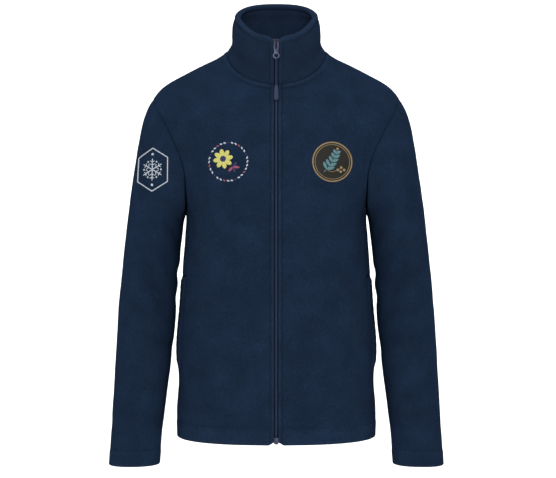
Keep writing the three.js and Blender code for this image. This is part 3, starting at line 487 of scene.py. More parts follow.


# the collar's copy of the same fleece, a little darker and less blue: painted shade
collarLook = {**fleeceLook, "dark": "#101825", "base": "#131D2C", "light": "#172334"}
napFleece = fleeceMaterial("navy brushed fleece", fleeceLook)
collarFleece = fleeceMaterial("navy brushed fleece, collar", collarLook)
seamThread = finishedMaterial("navy sewing thread", "thread", "#0F1B2C")
coilNylon = finishedMaterial("nylon zip coil", "coil", "#272E42")
# the tape's own dark navy, made darker still as painted shade of its recess between the coil and the cloth
zipTape = finishedMaterial("woven zip tape", "tape", "#080D19")
zincCast = finishedMaterial("lacquered zinc casting", "zinc", "#2E3041")
darkZinc = finishedMaterial("lacquered zinc casting of the slider", "darkZinc", "#12161F")
braidedCord = finishedMaterial("braided puller cord", "cord", "#19243D")
softGrip = finishedMaterial("moulded puller grip", "grip", "#1A2138")
print("materials made")


# Making meshes

def linkPiece(name, mesh, body):
    piece = linkObject(name, mesh)
    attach(piece, body)
    return piece


def linkMesh(name, points, faces, material, body="jacket", napAndPaintedLight=None):
    mesh = bpy.data.meshes.new(name)
    mesh.from_pydata((np.asarray(points) * mm).tolist(), [], faces)
    mesh.validate()
    mesh.update()
    mesh.materials.append(material)
    mesh.shade_smooth()
    if napAndPaintedLight is not None:
        attribute = mesh.attributes.new("napAndPaintedLight", "FLOAT", "POINT")
        attribute.data.foreach_set("value", np.asarray(napAndPaintedLight, np.float32))
    return linkPiece(name, mesh, body)


def turnOutwards(mesh):
    work = bmesh.new()
    work.from_mesh(mesh)
    bmesh.ops.recalc_face_normals(work, faces=work.faces)
    work.to_mesh(mesh)
    work.free()


def mirrored(faces, isMirrored):
    return [face[::-1] for face in faces] if isMirrored else faces


def tubeFaces(rows, columns):
    # a tube of rows, each a closed ring, with a flat cap at each end
    last = (rows - 1) * columns
    caps = [list(range(columns))[::-1], [last + j for j in range(columns)]]
    return gridFaces(rows, columns, wrapped=True) + caps


def arcLengths(points, axis):
    steps = np.linalg.norm(np.diff(points, axis=axis), axis=-1)
    start = np.zeros_like(np.take(steps, [0], axis=axis))
    return np.concatenate([start, np.cumsum(steps, axis=axis)], axis=axis)


def pointsAt(places, length, points):
    # the points of a line at distances along it
    return np.stack([np.interp(places, length, values) for values in np.transpose(points)], axis=-1)


def gridFaces(rows, columns, wrapped=False):
    i, j = np.meshgrid(np.arange(rows - 1), np.arange(columns if wrapped else columns - 1), indexing="ij")
    here, beside = i * columns + j, i * columns + (j + 1) % columns
    return np.stack([here, beside, beside + columns, here + columns], -1).reshape(-1, 4).tolist()


def rimRows(outer, inner, away, bulge, steps):
    # rows of points over a rounded edge, from the outer face to the inner one
    rows = []
    for k in range(1, steps):
        t = math.pi * k / steps
        middle = (outer + inner) / 2 + (outer - inner) / 2 * math.cos(t)
        rows.append(middle + away * (bulge * math.sin(t)))
    return rows


def unit(vectors):
    return vectors / np.maximum(np.linalg.norm(vectors, axis=-1, keepdims=True), 1e-9)


def wallPoints(outer, inner, low=0.0, high=0.0, left=0.0, right=0.0, wrapped=False, steps=5):
    # One closed sheet that goes round the wall: up the outer face, over its top edge and down the inner face.
    # low, high, left and right are how far each edge swells past the cut, for a folded edge.
    lowAway = unit(outer[0] - outer[1])
    highAway = unit(outer[-1] - outer[-2])
    loop = [*rimRows(inner[0], outer[0], lowAway, low, steps), *outer,
            *rimRows(outer[-1], inner[-1], highAway, high, steps), *inner[::-1]]
    band = np.array(loop)
    count, columns = band.shape[:2]
    faces = gridFaces(count, columns, wrapped)
    last = (count - 1) * columns
    for j in range(columns if wrapped else columns - 1):
        n = (j + 1) % columns
        faces.append([last + j, last + n, n, j])
    points = band.reshape(-1, 3)
    if wrapped:
        return points, faces
    rows = len(outer)
    first = steps - 1
    index = lambda i, j: (i % count) * columns + j
    extra = []
    total = len(points)
    for column, swell, neighbour in ((0, left, 1), (columns - 1, right, columns - 2)):
        away = unit(outer[:, column] - outer[:, neighbour])
        outerIds = [index(first + i, column) for i in range(rows)]
        innerIds = [index(first + rows + steps - 1 + (rows - 1 - i), column) for i in range(rows)]
        chain = [outerIds]
        for edgeRow in rimRows(outer[:, column], inner[:, column], away, swell, 3):
            chain.append([total + i for i in range(rows)])
            extra.append(edgeRow)
            total += rows
        chain.append(innerIds)
        for a, b in zip(chain[:-1], chain[1:]):
            for i in range(rows - 1):
                face = [a[i], a[i + 1], b[i + 1], b[i]]
                faces.append(face if column == 0 else face[::-1])
        lowRim = [index(first - 1 - k, column) for k in range(steps - 1)]
        highRim = [index(first + rows + k, column) for k in range(steps - 1)]
        for rim, at in ((lowRim, 0), (highRim, rows - 1)):
            cap = [ids[at] for ids in chain] + rim[::-1]
            faces.append(cap if (column == 0) == (at == 0) else cap[::-1])
    return np.concatenate([points, *extra]), faces


def napAndPaintedLightPoints(napAndPaintedLight, **options):
    # the same for every point that wallPoints makes, where the inner face is left as it is
    threefold = np.repeat(np.asarray(napAndPaintedLight, float)[..., None], 3, axis=-1)
    return wallPoints(threefold, 0 * threefold, **options)[0][:, 0]


def clothPiece(part, ending, outer, inner, isMirrored, napAndPaintedLight=None, wrapped=False, **edges):
    # the cloth between two faces, in place of the part's node
    points, faces = wallPoints(outer, inner, wrapped=wrapped, **edges)
    if napAndPaintedLight is not None:
        napAndPaintedLight = napAndPaintedLightPoints(napAndPaintedLight, wrapped=wrapped)
    material, slot = (zipTape, "zip_tape") if ending == "_woven" else (napFleece, "fleece")
    piece = linkMesh(part + ending, points, mirrored(faces, isMirrored), material, napAndPaintedLight=napAndPaintedLight)
    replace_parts(piece, part)
    return piece


def strip(distance, low, high, soft=0.8):
    return ease(distance, low - soft, low + soft) * (1 - ease(distance, high - soft, high + soft))


def line(distance, width=1.0):
    return np.exp(-(distance / width) ** 2)


def groove(distance, depth=0.75, width=1.7):
    # a seam or a row of stitches pulls the nap down
    return -depth * line(distance, width)


def pucker(along, distance, length=11.0, height=0.28, reach=9.0):
    # short waves across a sewn line
    turn = 2 * math.pi * along / length
    return height * (np.sin(turn) + 0.5 * np.sin(turn / 0.63 + 1.3)) * line(distance, reach)


stitchRuns = []  # every stitched line: its points, and the way out of the cloth at each

# how far each row of stitches is from its edge, and the size of a stitch
seams = {
    "zipTopstitch": 9.5, "hemStitch": 23, "cuffStitch": 24, "neckBand": 7, "pocketStitch": 8.2,
    "collarStitch": 6, "rimStitch": 12, "shownGap": 0.06,
    "stitchStep": 3.6, "stitchLength": 2.6, "stitchWide": 0.75, "stitchLift": 0.28,
}


def keepRun(grid, distance, side=1, byRow=False, ends=(1, 1)):
    # keeps the line of a grid's points where the distance is zero, found in each column or in each row
    normal = unit(np.cross(np.gradient(grid, axis=1), np.gradient(grid, axis=0)) * side)
    both = np.concatenate([grid, normal], axis=-1)
    if byRow:
        both = both.swapaxes(0, 1)
        distance = distance.T
    run = []
    for j in range(ends[0], both.shape[1] - ends[1]):
        order = np.argsort(distance[:, j])
        run.append(pointsAt(0, distance[order, j], both[order, j]))
    run = np.array(run)
    stitchRuns.append((run[:, :3], unit(run[:, 3:])))


def rowLevels(step):
    # heights of a panel's rows, closer together at the armhole's two ends
    low, high = pattern["armpit"], pattern["shoulder"]
    below = np.linspace(pattern["hem"], low, int((low - pattern["hem"]) / step) + 1)[:-1]
    turns = np.linspace(math.pi, 0, int((high - low) / step * 1.25))
    above = np.linspace(high, pattern["neck"], int((pattern["neck"] - high) / step * 1.4) + 1)[1:]
    return np.concatenate([below, armholeLevel(turns), above])


clothGrid = {"rowStep": 3.4, "frontColumns": 78, "backColumns": 150, "sleeveRows": 200, "sleeveColumns": 120}
# where the pocket's stitched edge and its tack lie, and the width of the tack
pocketEdge = {"inFromSide": 9.5, "above": 4, "tack": 2.2}


def pocketLines(level, points):
    # the topstitched edge of the pocket mouth and the tack at its top, each as a share from 0 to 1
    inFromSide = tableValue(bodyRings, "level", level, "sideX") - np.abs(points[..., 0])
    top, edge = pattern["pocketTop"] + pocketEdge["above"], pocketEdge["inFromSide"]
    span = strip(level, pattern["pocketBottom"], top, 3)
    tack = line(level - top, pocketEdge["tack"]) * (1 - ease(inFromSide, edge, edge + 2))
    return span * (1 - ease(inFromSide, edge - 1, edge)), line(inFromSide - edge) * span, tack


def wallAcross(turn):
    # from the outer face to the inner one at the armhole seam, half way between body and sleeve
    ofBody = bodyNormal(armholeLevel(turn), armholeAngle(turn))
    middle = unit(ofBody + sleeveNormal(1.0, turn))
    cosine = np.maximum((middle * ofBody).sum(-1), 0.6)
    return -middle * (pattern["wall"] / cosine)[:, None]


def makePanel(name, levels, angle, edges, isBack):
    # A front or the back. edges lists the columns that lie on a side seam and their sides: 1 left, -1 right.
    side = edges[0][1]
    level = levels[:, None] + 0 * angle
    plain = bodySurface(level, angle)
    across, upwards = arcLengths(plain, 1), arcLengths(plain, 0)
    toZip, toSide = across, across[:, -1:] - across
    if isBack:
        toSide = np.minimum(across, toSide)
    toNeck = upwards[-1:] - upwards
    fromHem = level - pattern["hem"]
    hemLine, neckLine = fromHem - seams["hemStitch"], toNeck - seams["neckBand"]
    calm = ease(toSide, 0, 22) * ease(toNeck, 0, 14) * ease(fromHem, 0, 60)
    push = groove(hemLine) + pucker(toSide, hemLine) + groove(toSide, 0.7, 2.6) - 0.9 * line(toSide, 15)
    band = np.sin(math.pi * np.clip(toNeck / seams["neckBand"], 0, 1))
    push = push + 1.3 * band + groove(neckLine, 1.1, 1.4)
    # painted light and shade on the cloth, partly pressed nap: a painted highlight on the hem stitch, painted
    # shade beside it and a paler hem band below it, a painted highlight on the neck band with painted shade
    # along its stitch line, and a painted highlight beside the side seam with painted shade in the seam
    napAndPaintedLight = 0.4 * line(hemLine, 1.3) - 0.3 * line(hemLine - 3, 1.6) + 0.3 * (1 - ease(hemLine, -4, 0))
    napAndPaintedLight = napAndPaintedLight + 0.4 * strip(toNeck, 0, seams["neckBand"] - 1) - 0.9 * line(neckLine - 0.6, 1.4)
    napAndPaintedLight = napAndPaintedLight + 0.2 * line(toSide - 4, 2) - 0.15 * line(toSide, 1.6)
    turned = inHem(fromHem, pattern["hemDepth"])
    if not isBack:
        stitchAt = seams["zipTopstitch"] - pattern["zipEdge"]
        zipLine = toZip - stitchAt
        edge, stitched, tack = pocketLines(level, plain)
        push = push + groove(zipLine, 1.2) + 0.7 * line(toZip - 2, 2.4)
        push = push + pucker(level, toZip - 5, 12, 0.22, 8)
        push = push + (0.9 * edge - 0.6 * stitched - 1.6 * tack) * ease(toSide, 6, 20)
        # a painted highlight on the band beside the zip and on the pocket's turned edge, partly pressed nap,
        # and painted shade in the zip's stitch groove, along the pocket stitch and at the tack
        napAndPaintedLight = napAndPaintedLight * ease(toZip, 2, 8) + 0.45 * strip(toZip, -2, stitchAt - 1)
        napAndPaintedLight = napAndPaintedLight - 0.7 * line(zipLine, 1.1) + 1.1 * edge - 0.4 * stitched - 2.2 * tack
        turned = turned * ease(np.abs(plain[..., 0]), 20, 32)
    outer = bodySurface(level, angle, -push, calm)
    inner = bodySurface(level, angle, mix(pattern["wall"], pattern["hemWall"], turned))
    gap = seams["shownGap"] / 2
    for column, _ in edges:
        outer[:, column] += unit(outer[:, 1 if column == 0 else -2] - outer[:, column]) * gap
    outer[-1, :, 2] -= gap
    inner[-1, :, 2] -= gap
    inArmhole = (levels > pattern["armpit"]) & (levels < pattern["shoulder"])
    wall = wallAcross(armholeTurn(levels) * (-1 if isBack else 1))
    for column, edgeSide in edges:
        inward = wall * [edgeSide, 1, 1]
        inner[inArmhole, column] = outer[inArmhole, column] + inward[inArmhole]
        inner[~inArmhole, column, 1] = outer[~inArmhole, column, 1]
    if not isBack:
        # the hem lifts a little beside the zip
        rise = 4.2 * (1 - ease(toZip[0], 0, 9))
        for row in range(4):
            for face in (outer, inner):
                face[row, :, 2] += rise * (1 - row / 4)
        keepRun(outer, zipLine, side, True, (3, 1))
    for stitches in (hemLine, neckLine):
        keepRun(outer, stitches, side, ends=(1, 1) if isBack else (4, 1))
    return clothPiece(name, "_cloth", outer, inner, side < 0, napAndPaintedLight, low=1.6, left=0.0 if isBack else 1.2)


def makeFront(word, side):
    levels = rowLevels(clothGrid["rowStep"])
    start, end = angleAtX(bodyRings, levels, pattern["zipEdge"]), panelEdge(levels, False)
    t = np.linspace(0, 1, clothGrid["frontColumns"])
    angle = side * mix(start[:, None], end[:, None], mix(t, t * t, 0.45))
    piece = makePanel("front_" + word, levels, angle, [(-1, side)], False)


def makeBack():
    levels = rowLevels(clothGrid["rowStep"])
    edge = panelEdge(levels, True)[:, None]
    angle = mix(edge, 2 * math.pi - edge, np.linspace(0, 1, clothGrid["backColumns"]))
    piece = makePanel("back", levels, angle, [(0, 1), (-1, -1)], True)


def makeSleeve(word, side):
    t = np.linspace(0, 1, clothGrid["sleeveRows"])
    columns = clothGrid["sleeveColumns"]
    along = (pattern["cuff"] * mix(t, t ** 1.25, 0.6))[:, None]
    along, turn = spread(along, (np.arange(columns) * 2 * math.pi / columns)[None, :])
    plain = sleeveSurface(along, turn)
    fromSeam, around = arcLengths(plain, 0), arcLengths(plain, 1)
    toCuff = pattern["cuff"] - along
    cuffLine = toCuff - seams["cuffStitch"]
    underSeam = np.abs(turn - math.pi) * (tableValue(sleeveRings, "along", along, "depth") + 45) / 2
    push = groove(fromSeam, 0.7, 4.2) - 0.9 * line(fromSeam, 15) + groove(cuffLine) + pucker(around, cuffLine)
    push = push + groove(underSeam, 1.2, 2.4) * ease(fromSeam, 0, 20)
    calm = ease(toCuff, 10, 60)
    outer = sleeveSurface(along, turn, -push, calm, side)
    wall = mix(pattern["wall"], pattern["hemWall"], inHem(toCuff, pattern["cuffDepth"]))
    inner = sleeveSurface(along, turn, wall)
    outer[0] += unit(np.array([206.0, 0, -58.0])) * seams["shownGap"]  # away from the body
    inner[0] = outer[0] + wallAcross(turn[0])
    outer[..., 0] *= side
    inner[..., 0] *= side
    # a painted highlight on the cuff stitch with painted shade beside it, painted shade at the armhole seam,
    # and painted shade in the creases
    napAndPaintedLight = 0.4 * line(cuffLine, 1.3) - 0.3 * line(cuffLine - 3, 1.6) - 0.2 * line(fromSeam, 3)
    napAndPaintedLight = napAndPaintedLight - 0.16 * sleeveCreases(along, turn, side) * calm
    piece = clothPiece("sleeve_" + word, "_cloth", outer, inner, side > 0, napAndPaintedLight, wrapped=True, high=1.6)
    keepRun(outer, cuffLine, -side, ends=(0, 0))


def makeCollar():
    # The collar's section: up the outer face, over the soft roll and down the inner face.
    bend, top, wall, roll = (pattern[k] for k in ("collarBend", "collarTop", "collarWall", "collarRoll"))
    rise = np.linspace(pattern["neck"] + pattern["seamGap"], bend, 26)
    turns = np.linspace(0, math.pi, 15)[1:-1]
    over = bend + 1.5 + (top - bend - 1.5) * np.sin(turns) ** 0.8
    overIn = roll / 2 * (1 - np.cos(turns))
    innerRise = rise[::-1]
    level = np.concatenate([rise, over, innerRise])
    inwards = np.concatenate([0 * rise, overIn, mix(roll, wall, ease(rise.max() - innerRise, 0, 16))])
    fromSeam = np.concatenate([rise - rise[0], over - rise[0], innerRise - rise[0]]) * 1.9
    facing = np.concatenate([rise * 0 + 1, np.cos(turns), innerRise * 0 - 1])[:, None]
    outerSide = np.maximum(facing, 0)
    columns = 230
    levelGrid = level[:, None] + np.zeros((1, columns))
    start = angleAtX(collarRings, level, pattern["zipEdge"])[:, None]
    angle = mix(start, 2 * math.pi - start, np.linspace(0, 1, columns)[None, :])
    plain = collarSurface(levelGrid, angle, inwards[:, None] + 0 * angle)
    around = arcLengths(plain, 1)
    toZip = np.minimum(around, around[:, -1:] - around)
    climb = arcLengths(plain, 0)
    fromTop = np.abs(climb - climb[len(rise) + len(over) // 2])
    rim, zipStitch = seams["rimStitch"], seams["collarStitch"]
    onRim = ease(fromTop, rim - 3, rim)
    push = outerSide * (groove(fromSeam[:, None], 0.3, 1.6) + groove(toZip - zipStitch, 0.9, 1.6))
    push = push + facing * (groove(fromTop - rim, 1.5, 1.8) + 1.2 * (1 - onRim))
    push = push + outerSide * pucker(levelGrid * 1.9, toZip - 5, 12, 0.2, 8)
    push = push + facing * pucker(around, fromTop - rim + 2, 13, 0.2, 5)
    push = push + 0.5 * ripple(plain, 46, 21) * ease(fromSeam[:, None], 4, 20) * ease(toZip, 6, 30)
    ring = collarSurface(levelGrid, angle, inwards[:, None] - push)
    # a painted highlight on the rim band and the band beside the zip, partly pressed nap, and painted shade
    # in their stitch grooves
    napAndPaintedLight = 0.55 * strip(fromTop, -2, rim - 1) - 0.9 * line(fromTop - rim - 0.6, 1.4)
    zipBand = 0.45 * strip(toZip, -2, zipStitch - 1) - 0.5 * line(toZip - zipStitch, 1.1)
    napAndPaintedLight = napAndPaintedLight + outerSide * zipBand * onRim
    corner = (3.8 * (1 - ease(toZip, 0, 9)) - 1.4 * line(toZip - 15, 9)) * ease(levelGrid, bend - 8, top)
    ring[..., 2] -= corner
    ring[[0, -1], :, 2] -= pattern["seamGap"] - seams["shownGap"]
    ring[-1, :, 2] -= 1.5  # the inner layer hangs past the seam
    count = len(level)
    points = ring.reshape(-1, 3)
    faces = gridFaces(count, columns)
    for j in range(columns - 1):
        faces.append([(count - 1) * columns + j, (count - 1) * columns + j + 1, j + 1, j])
    for column in (0, columns - 1):
        loop = [i * columns + column for i in range(count)]
        swell = ring[:, column].copy()
        swell[:, 0] -= math.copysign(1.1, swell[0, 0])
        centre = swell.mean(axis=0)
        inset = centre + (swell - centre) * np.array([1, 0.62, 0.97])
        first = len(points)
        points = np.concatenate([points, inset])
        second = [first + i for i in range(count)]
        rimFaces = [[loop[i], loop[i - count + 1], second[i - count + 1], second[i]] for i in range(count)]
        for i in range((count - 2) // 2):
            rimFaces.append([second[i], second[i + 1], second[-2 - i], second[-1 - i]])
        faces += mirrored(rimFaces, column > 0)
    flat = np.concatenate([napAndPaintedLight.ravel(), np.zeros(len(points) - napAndPaintedLight.size)])
    piece = linkMesh("collar_cloth", points, faces, collarFleece, napAndPaintedLight=flat)
    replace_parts(piece, "collar")
    outerBand = slice(0, len(rise) + len(over) // 2)
    keepRun(ring[outerBand], fromTop[outerBand] - rim, ends=(3, 3))
    fromEnd = around[:len(rise)]
    for distance in (fromEnd, fromEnd[:, -1:] - fromEnd):
        keepRun(ring[:len(rise)], distance - zipStitch, byRow=True)


def makePocketWelt(word, side):
    # the turned edge of the pocket mouth, topstitched to the front and tacked at both ends
    levels = np.linspace(pattern["pocketBottom"] + 2, pattern["pocketTop"] - 2, 54)
    width = np.linspace(0, 1, 9)
    reach = pattern["weltWidth"] / pattern["pocketSideX"]
    end = math.pi / 2 - 0.0012
    level = levels[:, None] + 0 * width[None, :]
    angle = side * mix(end - reach, end, width[None, :] + 0 * level)
    crown = 0.5 * np.sin(math.pi * width) ** 0.5
    toStitch = (1 - width) * pattern["weltWidth"] - seams["pocketStitch"]
    ends = ease(np.minimum(level - levels[0], levels[-1] - level), 0, 4)
    lift = pattern["seamGap"] + 0.5 + ends * (0.9 + crown) + groove(toStitch, 0.6, 1.1) * ends
    lift = lift + pucker(level, 0 * level, 13, 0.18)
    outer = bodySurface(level, angle, -lift)
    inner = bodySurface(level, angle, 0 * level - pattern["seamGap"])
    keepRun(outer, toStitch + 0 * level, side, True, (2, 2))
    return clothPiece("pocket_welt_" + word, "_cloth", outer, inner, side < 0, left=0.3, right=0.1)


bag = {"inner": 62, "overlap": 5, "setBack": 1.4, "wall": 1.3, "bottom": -640, "top": -406, "corner": 26}


def makePocketBag(word, side):
    levels = np.linspace(bag["bottom"], bag["top"], 66)
    start = angleAtX(bodyRings, levels, bag["inner"])[:, None]
    end = math.pi / 2 + bag["overlap"] / pattern["pocketSideX"]
    t = np.linspace(0, 1, 36)[None, :]
    angle = side * mix(start, end, t)
    level = levels[:, None] + 0 * angle
    corner = bag["corner"] * (1 - ease(t, 0, 0.35)) * (1 - ease(level, bag["bottom"], bag["bottom"] + 60))
    level = np.maximum(level, bag["bottom"] + corner)
    depth = pattern["wall"] + bag["setBack"]
    swell = 0.35 * ripple(bodyPlain(level, angle), 40, 31)
    outer = bodySurface(level, angle, depth + swell)
    inner = bodySurface(level, angle, depth + bag["wall"] + swell)
    piece = clothPiece("pocket_bag_" + word, "_cloth", outer, inner, side < 0)


sides = {"left": 1, "right": -1}
for word, side in sides.items():
    welt = makePocketWelt(word, side)
    makeFront(word, side)
    makeSleeve(word, side)
    makePocketBag(word, side)
makeBack()
makeCollar()
print("cloth panels made")


# Zip: tapes, coil and stop

def facePoint(level, x, inwards):
    # a point x from the centre line on the front of the body or the collar, below the face of the cloth
    level, x, inwards = spread(level, x, inwards)
    low = np.minimum(level, pattern["neck"] - 0.6)
    angle = angleAtX(bodyRings, low, np.abs(x)) * np.sign(x)
    collarAngle = angleAtX(collarRings, level, np.abs(x)) * np.sign(x)
    body = bodyPlain(low, angle) - bodyNormal(low, angle) * inwards[..., None]
    onBody = (level < pattern["neck"])[..., None]
    point = np.where(onBody, body, collarSurface(level, collarAngle, inwards))
    point[..., 0] = x
    return point


zipChain = {
    "half": 1.9, "depth": 0.9, "pitch": 1.55, "barWide": 1.25, "barHigh": 1.6,
    "tapeFrom": 0.01, "tapeTo": 15, "tapeFace": 3.0, "tapeWall": 1.0,
    "bottom": -676, "top": 57.5,
}


def zipHeights(step):
    # heights up the whole zip, spread evenly along its curved line
    level = np.linspace(pattern["hem"] + 3, zipChain["top"], 1500)
    length = arcLengths(facePoint(level, 0, 0), 0)
    return np.interp(np.arange(0, length[-1], step), length, level)


def makeTape(word, side):
    level = zipHeights(5)[:, None]
    reach = np.where(level > pattern["neck"] - 4, 3.2, zipChain["tapeTo"])
    across = np.linspace(0, 1, 12)[None, :]
    x = side * mix(zipChain["tapeFrom"], reach, across)
    outer = facePoint(level, x, zipChain["tapeFace"])
    inner = facePoint(level, x, zipChain["tapeFace"] + zipChain["tapeWall"])
    piece = clothPiece("zip_tape_" + word, "_woven", outer, inner, side < 0)


def repeatTree(name, shape, material):
    # A node tree that sets one shape on every point, turned to the point's own "aim" and "out" directions.
    tree = bpy.data.node_groups.new(name, "GeometryNodeTree")
    tree.interface.new_socket("Points", in_out="INPUT", socket_type="NodeSocketGeometry")
    tree.interface.new_socket("Size", in_out="INPUT", socket_type="NodeSocketVector")
    tree.interface.new_socket("Shaded", in_out="OUTPUT", socket_type="NodeSocketGeometry")
    entry = addNode(tree, "NodeGroupInput")
    ball = addNode(tree, "GeometryNodeMeshUVSphere", Segments=shape[0], Rings=shape[1], Radius=0.5)
    sized = addNode(tree, "GeometryNodeTransform", Geometry=ball.outputs["Mesh"], Scale=entry.outputs["Size"])
    smooth = addNode(tree, "GeometryNodeSetShadeSmooth", in0=sized.outputs["Geometry"])
    aim = addNode(tree, "GeometryNodeInputNamedAttribute", {"data_type": "FLOAT_VECTOR"}, Name="aim")
    out = addNode(tree, "GeometryNodeInputNamedAttribute", {"data_type": "FLOAT_VECTOR"}, Name="out")
    turn = addNode(tree, "FunctionNodeAxesToRotation", {"primary_axis": "X", "secondary_axis": "Z"},
                   in0=aim.outputs["Attribute"], in1=out.outputs["Attribute"])
    points = addNode(tree, "GeometryNodeMeshToPoints", Mesh=entry.outputs["Points"])
    placed = addNode(tree, "GeometryNodeInstanceOnPoints", Points=points.outputs[0],
                     Instance=smooth.outputs[0], Rotation=turn.outputs[0])
    real = addNode(tree, "GeometryNodeRealizeInstances", Geometry=placed.outputs["Instances"])
    coat = addNode(tree, "GeometryNodeSetMaterial", Geometry=real.outputs["Geometry"], Material=material)
    addNode(tree, "NodeGroupOutput", Shaded=coat.outputs["Geometry"])
    return tree


def addRepeats(name, tree, places, aims, outs, size):
    # runs the tree on the points and keeps the result as a plain mesh
    mesh = bpy.data.meshes.new(name + " points")
    mesh.from_pydata((np.asarray(places) * mm).tolist(), [], [])
    for label, values in (("aim", aims), ("out", outs)):
        attribute = mesh.attributes.new(label, "FLOAT_VECTOR", "POINT")
        attribute.data.foreach_set("vector", np.asarray(values, np.float32).ravel())
    holder = linkObject(name + " points", mesh)
    modifier = holder.modifiers.new("repeat", "NODES")
    modifier.node_group = tree
    for item in tree.interface.items_tree:
        if item.in_out == "INPUT" and item.name == "Size":
            modifier[item.identifier] = tuple(value * mm for value in size)
    graph = bpy.context.evaluated_depsgraph_get()
    made = bpy.data.meshes.new_from_object(holder.evaluated_get(graph))
    bpy.data.objects.remove(holder)
    linkPiece(name, made, "jacket")


def makeCoil(word, side, tree):
    # one half of the closed chain: a bar for each turn of the coil, half a turn from the other half's
    levels = zipHeights(zipChain["pitch"] / 2)[(0 if side > 0 else 1)::2]
    levels = levels[levels > zipChain["bottom"]]
    x, depth = side * (zipChain["half"] / 2 - 0.15), zipChain["depth"]
    places = facePoint(levels, x, depth + zipChain["barHigh"] / 2)
    ahead = unit(facePoint(levels + 0.5, x, depth) - facePoint(levels - 0.5, x, depth))
    across = np.array([1.0, 0, 0])
    outs, aims = unit(np.cross(across, ahead)), unit(across + ahead * 0.28 * side)
    size = (zipChain["half"] + 1.1, zipChain["barWide"], zipChain["barHigh"])
    addRepeats("zip_coil_" + word, tree, places, aims, outs, size)


coilTree = repeatTree("zip coil", (8, 6), coilNylon)
for word, side in sides.items():
    makeTape(word, side)
    makeCoil(word, side, coilTree)
print("zip made")


# Slider, tab, cord and grip

pull = {
    "pivot": (0, -68.440, 2.357), "tilt": 10,  # degrees, outwards from straight down
    "ringEnd": -29.4, "ringRadius": 6.0, "holeRadius": 3.3, "wall": 1.2,
    "cordRadius": 1.0, "drop": 47, "socket": 4, "earDepth": 6,
}


def softCasting(node, name, material, body, edge, ears=0.0):
    # a node's own shape with the soft, slightly rounded edges of a casting. ears widens its upper end.
    mesh = bpy.data.objects[node].data.copy()
    mesh.name = name
    points = np.empty(len(mesh.vertices) * 3, np.float32)
    mesh.vertices.foreach_get("co", points)
    points = points.reshape(-1, 3)
    height = (points[:, 2] - points[:, 2].min()) / np.ptp(points[:, 2])
    inFront = points[:, 1] < points[:, 1].min() + pull["earDepth"] * mm
    points[:, 0] *= 1 + ears * ease(height, 0.4, 0.95) * inFront
    mesh.vertices.foreach_set("co", points.ravel())
    work = bmesh.new()
    work.from_mesh(mesh)
    bmesh.ops.remove_doubles(work, verts=work.verts, dist=0.01 * mm)
    bmesh.ops.dissolve_limit(work, angle_limit=math.radians(4), verts=work.verts, edges=work.edges)
    sharp = [e for e in work.edges if len(e.link_faces) == 2 and e.calc_face_angle(0) > math.radians(28)]
    bmesh.ops.bevel(work, geom=sharp, offset=edge * mm, segments=2, profile=0.6, affect="EDGES",
                    clamp_overlap=True)
    bmesh.ops.recalc_face_normals(work, faces=work.faces)
    work.to_mesh(mesh)
    work.free()
    mesh.materials.clear()
    mesh.materials.append(material)
    mesh.shade_smooth()
    mesh.set_sharp_from_angle(angle=math.radians(40))
    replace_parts(linkPiece(name, mesh, body), node)


gripSections = makeTable(("down", "width", "depth"), [
    (0, 4.6, 2.8), (1, 5.2, 3.2), (3.5, 6.4, 3.6), (7, 7.3, 3.8),
    (14, 7.8, 3.9), (24, 8.2, 3.9), (26.2, 7.8, 3.5), (27, 6.8, 2.7),
])


def onPull(points):
    # from the pull's own frame, with +Y up its hanging line and +Z away from the chest
    tilt = math.radians(pull["tilt"])
    up = np.array([0, math.sin(tilt), math.cos(tilt)])
    across = np.array([1.0, 0, 0])
    points = np.asarray(points, float)
    return np.array(pull["pivot"]) + points @ np.array([across, up, np.cross(across, up)])


def cordLine():
    # the cord's route as the part has it: up in front of the tab's ring, through its hole and down behind it
    end, radius = pull["ringEnd"], pull["cordRadius"]
    holeEnd = end + pull["ringRadius"] - pull["holeRadius"]
    gripTop = end - pull["drop"]
    side, clear = radius + 0.15, pull["wall"] / 2 + radius + 0.3
    half = [
        (side, gripTop - pull["socket"], 0), (side, gripTop + 4, 0), (side, gripTop + 18, 0.1),
        (side, end - 16, 0.5), (side, end - 5, 1.5), (side, end - 1, clear),
        (side * 0.85, holeEnd - 0.2, clear), (side * 0.5, holeEnd + radius + 0.2, clear * 0.72),
    ]
    crown = (0, holeEnd + radius + 0.55, 0)
    back = [(-x, y, -z) for x, y, z in reversed(half)]
    return np.array([*half, crown, *back])


def smoothLine(points, steps):
    # a centripetal Catmull-Rom curve through the points
    knots = np.concatenate([[0], np.cumsum(np.linalg.norm(np.diff(points, axis=0), axis=1) ** 0.5)])
    ends = np.concatenate([[2 * points[0] - points[1]], points, [2 * points[-1] - points[-2]]])
    keys = np.concatenate([[-knots[1]], knots, [2 * knots[-1] - knots[-2]]])
    curve = []
    for i in range(len(points) - 1):
        p, k = ends[i:i + 4], keys[i:i + 4]
        for t in np.linspace(k[1], k[2], steps, endpoint=False):
            a = [mix(p[j], p[j + 1], (t - k[j]) / (k[j + 1] - k[j])) for j in range(3)]
            b = [mix(a[j], a[j + 1], (t - k[j]) / (k[j + 2] - k[j])) for j in range(2)]
            curve.append(mix(b[0], b[1], (t - k[1]) / (k[2] - k[1])))
    return np.array([*curve, points[-1]])


braid = {"sides": 16, "steps": 340, "ridge": 0.09, "wind": 1.3}  # ridge and wind in millimetres


